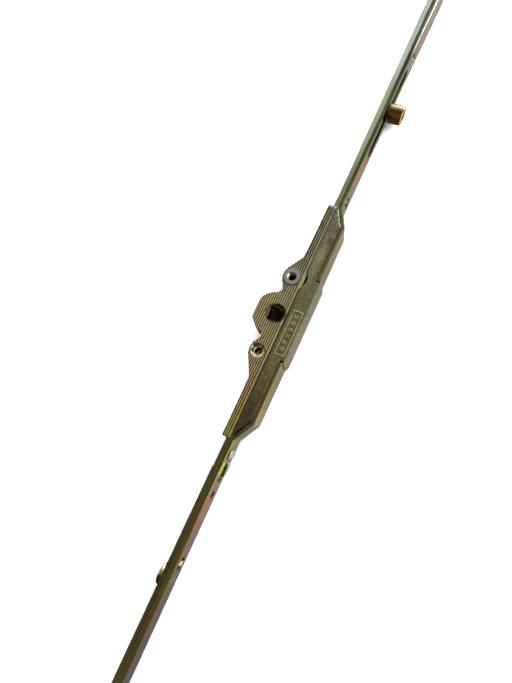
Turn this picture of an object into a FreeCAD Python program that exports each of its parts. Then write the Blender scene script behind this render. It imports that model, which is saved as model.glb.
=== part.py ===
import FreeCAD, Part
import Sketcher
import math
import os

# Window espagnolette gearbox: a toothed spindle follower in a two-shell case
# pushes a cranked drive bar behind a bowed faceplate; two flat rods and a
# roller cam ride on the bar.
# Frame: origin on the spindle axis at the middle of the case, +X along the
# faceplate towards the cam end, -Y the way the faceplate looks, +Z the spindle
# axis. Millimetres. The gearbox lies on its side, on the edge of the faceplate.

os.makedirs("parts", exist_ok=True)
doc = FreeCAD.newDocument("espagnolette_gearbox")
V = FreeCAD.Vector

# ------------------------------------------------------------------ dimensions
sheet = doc.addObject("Spreadsheet::Sheet", "dims")
SIZES = [
    # faceplate
    ("backset", 9.0), ("bow_rise", 6.2), ("plate_thick", 2.0), ("plate_width", 16.0),
    ("plate_low_end", 208.0), ("plate_high_end", 228.0),
    ("ramp_foot", 67.0), ("ramp_top", 56.0), ("bend_tight", 2.0), ("bend_wide", 4.0),
    ("set_start", 163.0), ("set_middle", 202.0), ("set_middle_out", 0.58), ("set_end_out", 0.78),
    ("outer_rounding", 0.5), ("inner_rounding", 0.45),
    ("notch_half", 23.3), ("notch_inner", 5.6),
    ("cam_slot_low", 105.6), ("cam_slot_high", 165.8), ("cam_slot_radius", 3.2),
    ("screw_hole_radius", 2.2), ("sink_radius", 3.7), ("sink_depth", 1.4),
    ("screw_low", -130.5), ("screw_mid", 75.2), ("screw_high", 175.5),
    ("access_small_at", -87.75), ("access_small_radius", 1.15),
    ("access_big_at", -95.6), ("access_big_radius", 2.35),
    # case
    ("rib_level", 5.2), ("raised_level", 8.0), ("side_front", 6.35), ("raised_foot", 5.67), ("raised_rear", 7.6),
    ("case_gap", 0.06), ("bow_gap", 0.22), ("rib_pitch", 1.15), ("rib_depth", 0.5), ("rib_width", 0.84),
    ("block_half", 22.25), ("block_skin", 1.15), ("block_chamfer", 0.85),
    ("bush_offset", 21.5), ("bar_room", 4.2), ("chamber_radius", 10.15), ("chamber_room", 2.3),
    ("collar_room_radius", 6.97), ("collar_room", 3.0), ("eye_radius", 5.5),
    ("tablet_low", -20.4), ("tablet_high", 4.4), ("tablet_rear", 8.95), ("tablet_front", 14.3),
    ("tablet_rise", 0.35), ("tablet_line", 0.6),
    # screw bushes
    ("bush_radius", 3.9), ("thread_core", 2.1), ("bush_proud", 0.12),
    ("ring_radius", 4.4), ("ring_seat_radius", 4.65), ("ring_stem_radius", 3.6),
    ("ring_seat_level", 4.0), ("ring_level", 5.95), ("ring_mouth_radius", 2.45),
    ("dowel_radius", 1.0), ("dowel_half", 3.4),
    # follower
    ("module_size", 1.24), ("teeth_count", 15), ("tooth_tip_radius", 10.0), ("tooth_root_radius", 8.35),
    ("tooth_half_face", 2.2), ("collar_radius", 6.9), ("collar_half", 2.9), ("square_side", 7.05),
    ("backlash", 0.14), ("square_turn", 4.5), ("square_mouth", 0.28),
    # drive bar and rods
    ("bar_half_width", 4.0), ("bar_thick", 2.93), ("bar_front_low", 6.85), ("bar_front_high", 12.85),
    ("bar_top", 38.5), ("bar_foot", 49.5), ("bar_top_high", 30.0), ("bar_foot_high", 41.0),
    ("rack_half", 24.4), ("rack_tip", 8.55), ("rack_root", 10.2),
    ("shoulder", 82.4), ("lap_low_end", 100.0), ("shoulder_high", 42.5), ("lap_high_end", 56.5), ("lap_face", 5.4),
    ("rod_half_width", 5.5), ("rod_rear", 3.92), ("rod_low_end", 205.0), ("rod_high_end", 222.0),
    ("rod_set_start", 85.0), ("rod_set_rate", 0.0085),
    ("stroke", 14.6), ("screw_slot_radius", 2.35), ("guide_slot_radius", 2.7),
    ("guide_slot_low", -155.0), ("guide_slot_high", -113.4),
    ("rivet_radius", 1.2),
    ("coupling_radius", 2.5), ("coupling_low", -199.0), ("coupling_high", 216.0),
    # guide rivet
    ("guide_at", -137.7), ("guide_shank", 2.3), ("guide_head_radius", 5.2), ("guide_head_rise", 2.6),
    # cam
    ("cam_at", 135.85), ("stud_shank", 2.9), ("stud_tail", 2.0), ("stud_neck", 2.45), ("stud_head", 3.7),
    ("washer_radius", 4.9), ("washer_thick", 0.6), ("washer_face", 9.2),
    ("roller_radius", 5.15), ("roller_bore", 2.51), ("roller_base", 9.9), ("roller_tip", 17.75),
    ("roller_sink_radius", 3.9), ("roller_sink", 1.5), ("roller_edge", 0.45),
    ("hex_radius", 2.31), ("hex_deep", 1.1),
]
for row, (alias, value) in enumerate(SIZES, start=1):
    sheet.set("A%d" % row, alias)
    sheet.set("B%d" % row, str(value))
    sheet.setAlias("B%d" % row, alias)
doc.recompute()


def d(alias):
    return float(sheet.get(alias))


# --------------------------------------------------------------------- helpers
def new_body(label):
    b = doc.addObject("PartDesign::Body", label)
    b.Label = label
    return b


def new_sketch(body, plane, offset=None):
    """A sketch on one of the body's own origin planes; offset is an expression."""
    sk = body.newObject("Sketcher::SketchObject", body.Name + "_sketch")
    origin_plane = [f for f in body.Origin.OriginFeatures if f.Role == plane][0]
    sk.AttachmentSupport = [(origin_plane, "")]
    sk.MapMode = "FlatFace"
    if offset is not None:
        sk.setExpression("AttachmentOffset.Base.z", offset)
    return sk


def loop(sk, start, steps):
    """A closed outline: each step is (x, y) for a line or (xm, ym, x, y) for an arc."""
    here = start
    for s in steps:
        if len(s) == 2:
            sk.addGeometry(Part.LineSegment(V(here[0], here[1], 0), V(s[0], s[1], 0)), False)
            here = s
        else:
            sk.addGeometry(Part.Arc(V(here[0], here[1], 0), V(s[0], s[1], 0), V(s[2], s[3], 0)), False)
            here = (s[2], s[3])
    if abs(here[0] - start[0]) + abs(here[1] - start[1]) > 1e-6:
        sk.addGeometry(Part.LineSegment(V(here[0], here[1], 0), V(start[0], start[1], 0)), False)


def polygon(sk, points):
    loop(sk, points[0], list(points[1:]))


def circle(sk, x, y, alias):
    """A circle whose radius is bound to the sheet."""
    n = sk.addGeometry(Part.Circle(V(x, y, 0), V(0, 0, 1), d(alias)), False)
    c = sk.addConstraint(Sketcher.Constraint("Radius", n, d(alias)))
    sk.setExpression("Constraints[%d]" % c, "dims." + alias)


def slot(sk, x0, x1, r):
    """A round-ended slot along the sketch's x axis between centres x0 and x1."""
    loop(sk, (x0, -r), [(x1, -r), (x1 + r, 0.0, x1, r), (x0, r), (x0 - r, 0.0, x0, -r)])


def volume(body):
    doc.recompute()
    return body.Shape.Volume


def pad(body, sk, length, back=False):
    f = body.newObject("PartDesign::Pad", body.Name + "_pad")
    f.Profile = sk
    f.setExpression("Length", length)
    f.Reversed = back
    doc.recompute()
    body.Tip = f
    doc.recompute()
    return f


def pocket(body, sk, length, back=False):
    """Cuts against the sketch's normal, or along it with back=True; the volume must fall."""
    before = volume(body)
    f = body.newObject("PartDesign::Pocket", body.Name + "_pocket")
    f.Profile = sk
    f.setExpression("Length", length)
    f.Reversed = back
    doc.recompute()
    body.Tip = f
    after = volume(body)
    if not after < before - 1e-6:
        raise RuntimeError("a pocket in %s cuts nothing" % body.Label)
    return f


def round_edges(body, alias, test):
    """Rounds the edges of the body's present shape that pass the test."""
    base = body.Tip
    names = ["Edge%d" % (i + 1) for i, e in enumerate(base.Shape.Edges) if test(e)]
    if not names:
        raise RuntimeError("no edges to round in %s" % body.Label)
    f = body.newObject("PartDesign::Fillet", body.Name + "_rounding")
    f.Base = (base, names)
    f.setExpression("Radius", "dims." + alias)
    doc.recompute()
    body.Tip = f
    doc.recompute()
    return f


def turned(body, points, at=0.0):
    """A turned piece: points are (radius, y) pairs round the line x = at, z = 0, or
    (radius, y, radius, y) for an arc through the first to the second."""
    sk = new_sketch(body, "XY_Plane")
    steps = [(at + p[0], p[1]) if len(p) == 2 else (at + p[0], p[1], at + p[2], p[3]) for p in points[1:]]
    loop(sk, (at + points[0][0], points[0][1]), steps)
    f = body.newObject("PartDesign::Revolution", body.Name + "_turn")
    f.Profile = sk
    sk.addGeometry(Part.LineSegment(V(at, points[0][1], 0), V(at, points[0][1] + 1.0, 0)), True)
    f.ReferenceAxis = (sk, ["Axis0"])
    f.Angle = 360.0
    doc.recompute()
    body.Tip = f
    doc.recompute()
    return f


def rounded(points, radii, side):
    """Outline steps along a bent strip's face. points are the outer face's corners,
    radii the bend radius of the outer face at each inner corner, side the distance
    of the wanted face from the outer one, towards the left of the way it runs."""
    n = len(points)
    out = []
    dirs = []
    for i in range(n - 1):
        v = V(points[i + 1][0] - points[i][0], points[i + 1][1] - points[i][1], 0)
        v.normalize()
        dirs.append(v)
    left = [V(-v.y, v.x, 0) for v in dirs]
    start = V(points[0][0], points[0][1], 0) + left[0] * side
    out.append(("P", start.x, start.y))
    for i in range(1, n - 1):
        a, b = dirs[i - 1], dirs[i]
        cross = a.x * b.y - a.y * b.x
        turn = math.asin(max(-1, min(1, cross)))
        r = radii[i - 1]
        p = V(points[i][0], points[i][1], 0)
        cut = r * math.tan(abs(turn) / 2)
        sgn = 1.0 if turn > 0 else -1.0
        centre = p - a * cut + left[i - 1] * (r * sgn)
        rr = r - side * sgn
        p0 = centre - left[i - 1] * (rr * sgn)
        p1 = centre - left[i] * (rr * sgn)
        m = (left[i - 1] + left[i])
        m.normalize()
        pm = centre - m * (rr * sgn)
        out.append(("P", p0.x, p0.y))
        out.append(("A", pm.x, pm.y, p1.x, p1.y))
    end = V(points[-1][0], points[-1][1], 0) + left[-1] * side
    out.append(("P", end.x, end.y))
    return out


# ------------------------------------------------------------------- faceplate
bs, rise, pt = d("backset"), d("bow_rise"), d("plate_thick")
face = [(-d("plate_low_end"), -bs), (-d("ramp_foot"), -bs), (-d("ramp_top"), -bs - rise),
        (d("ramp_top"), -bs - rise), (d("ramp_foot"), -bs), (d("set_start"), -bs),
        (d("set_middle"), -bs - d("set_middle_out")), (d("plate_high_end"), -bs - d("set_end_out"))]
bend = [d("bend_tight"), d("bend_wide"), d("bend_wide"), d("bend_tight"), 300.0, 300.0]


def face_y(x):
    """y of the faceplate's outer face at x, away from the bow."""
    if x < d("set_start"):
        return -bs
    k = (x - d("set_start")) / (d("set_middle") - d("set_start"))
    return -bs - k * d("set_middle_out")


outer = rounded(face, bend, 0.0)
inner = rounded(face, bend, pt)
faceplate = new_body("faceplate")
sk = new_sketch(faceplate, "XY_Plane", "-dims.plate_width / 2")
steps = []
for s in outer[1:]:
    steps.append((s[1], s[2]) if s[0] == "P" else (s[1], s[2], s[3], s[4]))
# back along the inner face: the arcs are walked the other way
steps.append((inner[-1][1], inner[-1][2]))
k = len(inner) - 2
while k >= 0:
    s = inner[k]
    if s[0] == "A":
        before = inner[k - 1]
        steps.append((s[3], s[4]))
        steps.append((s[1], s[2], before[1], before[2]))
        k -= 2
    else:
        steps.append((s[1], s[2]))
        k -= 1
loop(sk, (outer[0][1], outer[0][2]), steps)
pad(faceplate, sk, "dims.plate_width")


def on_rim(e, y_to_face):
    """True for a long edge of the strip whose middle lies y_to_face behind its outer face."""
    p = e.valueAt((e.FirstParameter + e.LastParameter) / 2)
    ends = [v.Point for v in e.Vertexes]
    if min(abs(abs(q.z) - d("plate_width") / 2) for q in ends + [p]) > 1e-6 or e.Length < 1e-6:
        return False
    if max(abs(abs(q.z) - d("plate_width") / 2) for q in ends + [p]) > 1e-6:
        return False
    if max(q.x for q in ends) - min(q.x for q in ends) < 0.3:
        return False
    line = outer if y_to_face == 0 else inner
    near = []
    for s in line:
        near.append((s[1], s[2]))
        if s[0] == "A":
            near.append((s[3], s[4]))
    # the edge's own corner points are corners of the wanted outline
    hits = 0
    for q in ends:
        if min(abs(q.x - a) + abs(q.y - b) for a, b in near) < 1e-4:
            hits += 1
    return hits == len(ends)


round_edges(faceplate, "outer_rounding", lambda e: on_rim(e, 0))
round_edges(faceplate, "inner_rounding", lambda e: on_rim(e, 1))

# the edges are set in where the case's block wraps the plate
sk = new_sketch(faceplate, "XZ_Plane", "20")
nh, ni, w2 = d("notch_half"), d("notch_inner"), d("plate_width") / 2 + 1
polygon(sk, [(-nh, ni), (nh, ni), (nh, w2), (-nh, w2)])
polygon(sk, [(-nh, -w2), (nh, -w2), (nh, -ni), (-nh, -ni)])
pocket(faceplate, sk, "10")

# slot for the cam, screw holes, and two small access holes at the lap joint
sk = new_sketch(faceplate, "XZ_Plane", "20")
r = d("cam_slot_radius")
slot(sk, d("cam_slot_low") + r, d("cam_slot_high") - r, r)
for a in ("screw_low", "screw_mid", "screw_high"):
    circle(sk, d(a), 0, "screw_hole_radius")
circle(sk, d("guide_at"), 0, "guide_shank")
circle(sk, d("access_small_at"), 0, "access_small_radius")
circle(sk, d("access_big_at"), 0, "access_big_radius")
pocket(faceplate, sk, "20")
for a in ("screw_low", "screw_mid", "screw_high"):
    cone = faceplate.newObject("PartDesign::SubtractiveCone", "faceplate_sink")
    cone.setExpression("Radius1", "dims.sink_radius")
    cone.setExpression("Radius2", "dims.screw_hole_radius")
    cone.setExpression("Height", "dims.sink_depth")
    cone.Placement = FreeCAD.Placement(V(d(a), face_y(d(a)), 0), FreeCAD.Rotation(V(1, 0, 0), -90))
    doc.recompute()
    faceplate.Tip = cone
    doc.recompute()

# the long lanced tab: a hood held at its high end, open at its low end and on top
sk = new_sketch(faceplate, "XZ_Plane", "20")
polygon(sk, [(-86.2, -5.6), (-79.4, -5.6), (-79.4, 1.7), (-86.2, 1.7)])
pocket(faceplate, sk, "20")
sk = new_sketch(faceplate, "XY_Plane", "-7.0")
loop(sk, (-85.6, -10.15), [(-82.0, -10.15), (-80.0, -9.85, -78.4, -8.95), (-78.4, -7.2), (-79.7, -7.6),
                           (-80.9, -8.6, -82.3, -8.85), (-85.6, -8.85)])
pad(faceplate, sk, "8.1")
sk = new_sketch(faceplate, "YZ_Plane", "-88")
loop(sk, (-10.6, -2.0), [(-10.16, -2.0), (-10.0, -5.0, -8.98, -7.05), (-10.6, -7.05)])
pocket(faceplate, sk, "12", back=True)
# the short tab: a blister, slit open along its round upper edge
bulge = faceplate.newObject("PartDesign::AdditiveEllipsoid", "short_tab")
bulge.Radius1, bulge.Radius2, bulge.Radius3 = 5.9, 2.6, 1.25
bulge.Placement = FreeCAD.Placement(V(-74.55, -8.9, -1.6), FreeCAD.Rotation())
doc.recompute()
faceplate.Tip = bulge
doc.recompute()
sk = new_sketch(faceplate, "XZ_Plane", "20")
loop(sk, (-77.15, 0.2), [(-74.55, 3.75, -71.95, 0.2), (-71.75, 0.9), (-72.3, 4.2, -73.4, 5.5), (-75.7, 5.5),
                         (-76.8, 4.2, -77.35, 0.9)])
pocket(faceplate, sk, "20")

# ---------------------------------------------------------------- case shells
gap = d("case_gap")
ramp = math.atan2(rise, d("ramp_foot") - d("ramp_top"))
off = pt * math.tan(ramp / 2)
in_foot = (d("ramp_foot") - off, -bs + pt)          # inner face of the plate's ramp
in_top = (d("ramp_top") - off, -bs - rise + pt)
rear = d("side_front")


def on_ramp(y, clear):
    """x of the plate's inner ramp face at y, drawn back by clear along x."""
    k = (y - in_foot[1]) / (in_top[1] - in_foot[1])
    return in_foot[0] + k * (in_top[0] - in_foot[0]) - clear


plate_back = in_top[1] + gap                         # front of the raised body
bx = d("bush_offset")
# rear outline of the ribbed side plate, from the low end to the high end
OUTLINE = [
    (-35.8, -1.7), (-26.2, 3.45), (-24.4, 4.35, -21.5, 4.85), (-18.6, 4.3, -16.8, 3.1), (-13.7, 1.75),
    (-12.1, 2.7), (-11.3, 5.75), (-10.4, 6.75), (-6.2, 10.75), (4.8, 10.75), (8.9, 7.7, 11.0, 3.6), (13.1, 1.55),
    (16.9, 3.65), (19.0, 4.75, 21.6, 5.2), (24.3, 4.9, 26.4, 3.85), (31.9, 0.15), (34.2, -1.3),
]


def shell(label, front):
    """One half of the case. front=True is the half above the middle plane."""
    up = not front                                   # pads and pockets run down for the back half
    s = 1.0 if front else -1.0
    b = new_body(label)

    # ribbed side plate
    sk = new_sketch(b, "XY_Plane")
    steps = list(OUTLINE)
    steps += [(67.3, -1.55), (67.3, -5.9), (66.0, -rear), (-66.0, -rear), (-67.5, -5.9), (-67.5, -1.65)]
    loop(sk, (-67.5, -1.65), steps[:-1])
    pad(b, sk, "dims.rib_level", back=up)

    # raised body behind the bow, its ends cut along the plate's ramps
    sk = new_sketch(b, "XY_Plane")
    bow_back = in_top[1] + d("bow_gap")
    xt = on_ramp(bow_back, d("bow_gap") * 1.9)
    xr = on_ramp(-rear - 0.3, d("bow_gap") * 1.9)
    foot = -d("raised_foot")
    polygon(sk, [(-xr, -rear - 0.3), (-xt, bow_back), (xt, bow_back), (xr, -rear - 0.3), (xr - 1.1, foot),
                 (-xr + 1.1, foot)])
    pad(b, sk, "dims.raised_level", back=up)
    if front:
        # its rear wall leans forward over the side plate
        sk = new_sketch(b, "YZ_Plane", "-80")
        polygon(sk, [(foot, d("rib_level")), (-d("raised_rear"), d("raised_level")), (-d("raised_rear"), 9.0), (-3.0, 9.0),
                     (-3.0, d("rib_level"))])
        pocket(b, sk, "160", back=True)

    # block that wraps the faceplate
    sk = new_sketch(b, "YZ_Plane", "-dims.block_half")
    lv = d("raised_level")
    fy = -bs - rise - d("case_gap") - d("block_skin")
    ch = d("block_chamfer")
    polygon(sk, [(plate_back + 1.0, 0), (plate_back + 1.0, s * lv), (fy + ch, s * lv), (fy, s * (lv - ch)), (fy, 0)])
    pad(b, sk, "2 * dims.block_half")
    # its skin in front of the strip runs on past both ends and thins out
    sk = new_sketch(b, "XY_Plane")
    polygon(sk, [(-24.8, -bs - rise - gap), (-24.5, -bs - rise - gap - 0.25), (-22.0, fy), (22.9, fy),
                 (25.0, -bs - rise - gap - 0.25), (25.3, -bs - rise - gap)])
    pad(b, sk, "dims.raised_level", back=up)
    sk = new_sketch(b, "YZ_Plane", "-30")
    polygon(sk, [(fy - 1, s * (lv + 1)), (fy - 1, s * (lv - ch - 1)), (fy, s * (lv - ch)), (fy + ch, s * lv),
                 (fy + ch + 1, s * (lv + 1))])
    pocket(b, sk, "60", back=True)
    sk = new_sketch(b, "XZ_Plane", "14.9")
    if front:
        polygon(sk, [(-26.0, 9.0), (-23.4, 9.0), (-24.35, 0.0), (-26.0, 0.0)])
        polygon(sk, [(26.0, 9.0), (23.6, 9.0), (24.4, 0.0), (26.0, 0.0)])
    else:
        polygon(sk, [(-26.0, 0.0), (-24.35, 0.0), (-24.8, -5.4), (-22.6, -9.0), (-26.0, -9.0)])
        polygon(sk, [(26.0, 0.0), (24.4, 0.0), (24.9, -5.4), (23.0, -9.0), (26.0, -9.0)])
    pocket(b, sk, "5", back=True)
    sk = new_sketch(b, "YZ_Plane", "-30")
    polygon(sk, [(plate_back, -s), (plate_back, s * (d("notch_inner") + gap)),
                 (-bs - rise - gap, s * (d("notch_inner") + gap)), (-bs - rise - gap, -s)])
    pocket(b, sk, "60", back=True)

    # lengthwise flutes on the side plate
    sk = new_sketch(b, "YZ_Plane", "-80")
    rl, rd, rw, rp = d("rib_level"), d("rib_depth"), d("rib_width"), d("rib_pitch")
    for i in range(1, 15):
        y0 = -5.62 + i * rp
        polygon(sk, [(y0 - rw / 2, s * (rl + 0.05)), (y0 + rw / 2, s * (rl + 0.05)), (y0 + rw / 8, s * (rl - rd)),
                     (y0 - rw / 8, s * (rl - rd))])
    pocket(b, sk, "160", back=True)

    # arc cut in the raised body beside the high-end bush, to the side plate's level
    sk = new_sketch(b, "XY_Plane", "%g * dims.rib_level" % s)
    n = sk.addGeometry(Part.Circle(V(21.3, -2.6, 0), V(0, 0, 1), 6.1), False)
    pocket(b, sk, "5", back=not up)
    # its deeper front part, a crescent
    sk = new_sketch(b, "XY_Plane", "%g * (dims.rib_level - 0.6)" % s)
    half = math.sqrt(6.1 ** 2 - 4.2 ** 2)
    loop(sk, (21.3 - half, -6.8), [(21.3, -8.7, 21.3 + half, -6.8)])
    pocket(b, sk, "5", back=not up)

    # plain rims round the two bushes, over the flutes
    sk = new_sketch(b, "XY_Plane")
    sk.addGeometry(Part.Circle(V(bx, 0, 0), V(0, 0, 1), 5.1), False)
    sk.addGeometry(Part.Circle(V(-bx, 0, 0), V(0, 0, 1), 4.25), False)
    pad(b, sk, "dims.rib_level", back=up)

    # room for the drive bar through its whole travel
    sk = new_sketch(b, "XY_Plane")
    polygon(sk, [(-70, -3.6), (-34.0, -3.6), (-25.6, -8.3), (17.1, -8.3), (25.5, -3.6), (70, -3.6), (70, -13.6), (-70, -13.6)])
    pocket(b, sk, "dims.bar_room", back=not up)

    # round chamber for the follower, the seats for its collars, and the eye
    sk = new_sketch(b, "XY_Plane")
    circle(sk, 0, 0, "chamber_radius")
    pocket(b, sk, "dims.chamber_room", back=not up)
    sk = new_sketch(b, "XY_Plane")
    circle(sk, 0, 0, "collar_room_radius")
    pocket(b, sk, "dims.collar_room", back=not up)
    sk = new_sketch(b, "XY_Plane")
    circle(sk, 0, 0, "eye_radius")
    pocket(b, sk, "10", back=not up)

    # bores for the screw bushes and the dowels
    sk = new_sketch(b, "XY_Plane")
    circle(sk, -bx, 0, "bush_radius")
    circle(sk, bx, 0, "ring_stem_radius")
    pocket(b, sk, "10", back=not up)
    if front:
        sk = new_sketch(b, "XY_Plane", "dims.ring_seat_level")
        circle(sk, bx, 0, "ring_seat_radius")
        pocket(b, sk, "10", back=True)
    sk = new_sketch(b, "XY_Plane")
    for x, y in DOWELS:
        circle(sk, x, y, "dowel_radius")
    pocket(b, sk, "dims.dowel_half", back=not up)

    if front:
        # plain tablet: a raised frame with bare raised bars in it
        sk = new_sketch(b, "XY_Plane", "dims.raised_level - 0.1")
        x0, x1, y0, y1, w = d("tablet_low"), d("tablet_high"), -d("tablet_front"), -d("tablet_rear"), d("tablet_line")
        polygon(sk, [(x0, y0), (x1, y0), (x1, y1), (x0, y1)])
        polygon(sk, [(x0 + w, y0 + w), (x1 - w, y0 + w), (x1 - w, y1 - w), (x0 + w, y1 - w)])
        pad(b, sk, "dims.tablet_rise + 0.1")
        sk = new_sketch(b, "XY_Plane", "dims.raised_level - 0.1")
        for i in range(6):
            cx = x0 + 3.4 + i * 3.6
            polygon(sk, [(cx - 0.95, y0 + 1.35), (cx + 0.95, y0 + 1.35), (cx + 0.95, y1 - 1.35), (cx - 0.95, y1 - 1.35)])
        pad(b, sk, "dims.tablet_rise * 0.8 + 0.1")
    return b


DOWELS = [(-29.6, -0.75), (29.6, -0.75), (-14.0, -5.6), (14.0, -5.6)]
front_shell = shell("housing_front_shell", True)
back_shell = shell("housing_back_shell", False)

# ------------------------------------------------------------------ screw bushes
low_bush = new_body("screw_bush_lower")
sk = new_sketch(low_bush, "XY_Plane", "-dims.rib_level - dims.bush_proud")
circle(sk, -bx, 0, "bush_radius")
pad(low_bush, sk, "2 * dims.rib_level + 2 * dims.bush_proud")
sk = new_sketch(low_bush, "XY_Plane", "-10")
circle(sk, -bx, 0, "thread_core")
pocket(low_bush, sk, "20", back=True)
for s in (1, -1):
    cone = low_bush.newObject("PartDesign::SubtractiveCone", "low_bush_mouth")
    cone.Radius1 = 3.75
    cone.setExpression("Radius2", "dims.thread_core")
    cone.Height = 1.65
    top = d("rib_level") + d("bush_proud")
    rot = FreeCAD.Rotation(V(1, 0, 0), 180) if s > 0 else FreeCAD.Rotation()
    cone.Placement = FreeCAD.Placement(V(-bx, 0, s * top), rot)
    doc.recompute()
    low_bush.Tip = cone
    doc.recompute()

high_bush = new_body("screw_bush_upper")
sk = new_sketch(high_bush, "XY_Plane", "-dims.rib_level")
circle(sk, bx, 0, "ring_stem_radius")
pad(high_bush, sk, "dims.rib_level + dims.ring_seat_level")
sk = new_sketch(high_bush, "XY_Plane", "dims.ring_seat_level")
circle(sk, bx, 0, "ring_radius")
pad(high_bush, sk, "dims.ring_level - dims.ring_seat_level")
sk = new_sketch(high_bush, "XY_Plane", "-10")
circle(sk, bx, 0, "thread_core")
pocket(high_bush, sk, "20", back=True)
sk = new_sketch(high_bush, "XY_Plane", "dims.ring_level - 1.6")
circle(sk, bx, 0, "ring_mouth_radius")
pocket(high_bush, sk, "5", back=True)

dowels = doc.addObject("Part::MultiFuse", "dowel_pins")
dowels.Label = "dowel_pins"
pins = []
for i, (x, y) in enumerate(DOWELS):
    c = doc.addObject("Part::Cylinder", "dowel_%d" % i)
    c.setExpression("Radius", "dims.dowel_radius")
    c.setExpression("Height", "2 * dims.dowel_half")
    c.Placement = FreeCAD.Placement(V(x, y, -d("dowel_half")), FreeCAD.Rotation())
    pins.append(c)
dowels.Shapes = pins

# --------------------------------------------------------------------- follower
m, zt = d("module_size"), int(d("teeth_count"))
pitch_r = m * zt / 2.0
pitch = math.pi * m
alpha = math.radians(20.0)


def involute_gear(teeth, r_pitch, r_tip, r_root, thick):
    """Outline of a spur gear with one tooth centred at angle -90 degrees."""
    rb = r_pitch * math.cos(alpha)

    def inv(a):
        return math.tan(a) - a

    half = thick / (2.0 * r_pitch)
    pts = []
    for k in range(teeth):
        mid = -math.pi / 2 + 2 * math.pi * k / teeth
        flank = []
        for i in range(7):
            rr = rb + (r_tip - rb) * i / 6.0
            a = math.acos(min(1.0, rb / rr))
            flank.append((rr, half + inv(alpha) - inv(a)))
        # root corner, up one flank, across the tip and down the other
        root_a = flank[0][1] + 0.012
        pts.append((r_root, mid - root_a))
        for rr, a in flank:
            pts.append((rr, mid - a))
        for rr, a in reversed(flank):
            pts.append((rr, mid + a))
        pts.append((r_root, mid + root_a))
    return [(rr * math.cos(a), rr * math.sin(a)) for rr, a in pts]


follower = new_body("spindle_follower")
sk = new_sketch(follower, "XY_Plane", "-dims.tooth_half_face")
polygon(sk, involute_gear(zt, pitch_r, d("tooth_tip_radius"), d("tooth_root_radius"), pitch / 2 - d("backlash")))
pad(follower, sk, "2 * dims.tooth_half_face")
sk = new_sketch(follower, "XY_Plane", "-dims.collar_half")
circle(sk, 0, 0, "collar_radius")
pad(follower, sk, "2 * dims.collar_half")
sk = new_sketch(follower, "XY_Plane")
sk.AttachmentOffset = FreeCAD.Placement(V(0, 0, -10), FreeCAD.Rotation(V(0, 0, 1), d("square_turn")))
h = d("square_side") / 2
sk.addGeometry(Part.LineSegment(V(-h, -h, 0), V(h, -h, 0)), False)
sk.addGeometry(Part.LineSegment(V(h, -h, 0), V(h, h, 0)), False)
sk.addGeometry(Part.LineSegment(V(h, h, 0), V(-h, h, 0)), False)
sk.addGeometry(Part.LineSegment(V(-h, h, 0), V(-h, -h, 0)), False)
for i in range(4):
    sk.addConstraint(Sketcher.Constraint("Coincident", i, 2, (i + 1) % 4, 1))
sk.addConstraint(Sketcher.Constraint("Horizontal", 0))
sk.addConstraint(Sketcher.Constraint("Vertical", 1))
sk.addConstraint(Sketcher.Constraint("Horizontal", 2))
sk.addConstraint(Sketcher.Constraint("Vertical", 3))
sk.addConstraint(Sketcher.Constraint("Symmetric", 0, 1, 2, 1, -1, 1))
c = sk.addConstraint(Sketcher.Constraint("DistanceX", 0, 1, 0, 2, 2 * h))
sk.setExpression("Constraints[%d]" % c, "dims.square_side")
c = sk.addConstraint(Sketcher.Constraint("DistanceY", 1, 1, 1, 2, 2 * h))
sk.setExpression("Constraints[%d]" % c, "dims.square_side")
pocket(follower, sk, "20", back=True)
# broken edges at both mouths of the square
base = follower.Tip
names = []
for i, e in enumerate(base.Shape.Edges):
    ends = [v.Point for v in e.Vertexes]
    if len(ends) == 2 and abs(ends[0].z - ends[1].z) < 1e-6:
        if all(abs(abs(q.z) - d("collar_half")) < 1e-6 and math.hypot(q.x, q.y) < 5.2 for q in ends):
            names.append("Edge%d" % (i + 1))
if len(names) != 8:
    raise RuntimeError("square mouth edges: %d" % len(names))
mouth = follower.newObject("PartDesign::Chamfer", "spindle_follower_mouth")
mouth.Base = (base, names)
mouth.setExpression("Size", "dims.square_mouth")
doc.recompute()
follower.Tip = mouth
doc.recompute()

# -------------------------------------------------------------------- drive bar
LOW_RIVETS = [d("access_small_at"), d("access_big_at")]
HIGH_RIVETS = [45.6, 53.0]
tb, fl, fh = d("bar_thick"), d("bar_front_low"), d("bar_front_high")
bt, bf, bth, bfh = d("bar_top"), d("bar_foot"), d("bar_top_high"), d("bar_foot_high")
sh, ll, shh, lh, lap = d("shoulder"), d("lap_low_end"), d("shoulder_high"), d("lap_high_end"), d("lap_face")
bar_ramp = math.atan2(fh - fl, bf - bt)
boff = tb * math.tan(bar_ramp / 2)
tip, root = -d("rack_tip"), -d("rack_root")
rh = d("rack_half")
rack_line = -pitch_r
rear_side = [(lh, -fl), (lh, -lap), (shh, -lap), (shh, -fl + tb), (bfh - boff, -fl + tb), (bth - boff, -fh + tb), (rh, -fh + tb),
             (rh, root + 0.4)]
half_at = (pitch / 2 - d("backlash")) / 2.0
add, ded = tip - rack_line, rack_line - root
rack_pts = []
for k in range(6, -7, -1):
    # the spaces are at whole pitches, so the teeth stand at the halves
    cx = (k - 0.5) * pitch
    if k == -6:
        continue
    rack_pts += [(cx + half_at + ded * math.tan(alpha), root), (cx + half_at - add * math.tan(alpha), tip),
                 (cx - half_at + add * math.tan(alpha), tip), (cx - half_at - ded * math.tan(alpha), root)]
rear_side += [(rack_pts[0][0] + 0.6, root)] + rack_pts + [(rack_pts[-1][0] - 0.6, root)]
rear_side += [(-rh, root + 0.4), (-rh, -fh + tb), (-bt + boff, -fh + tb), (-bf + boff, -fl + tb), (-sh, -fl + tb), (-sh, -lap),
              (-ll, -lap), (-ll, -fl)]
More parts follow.
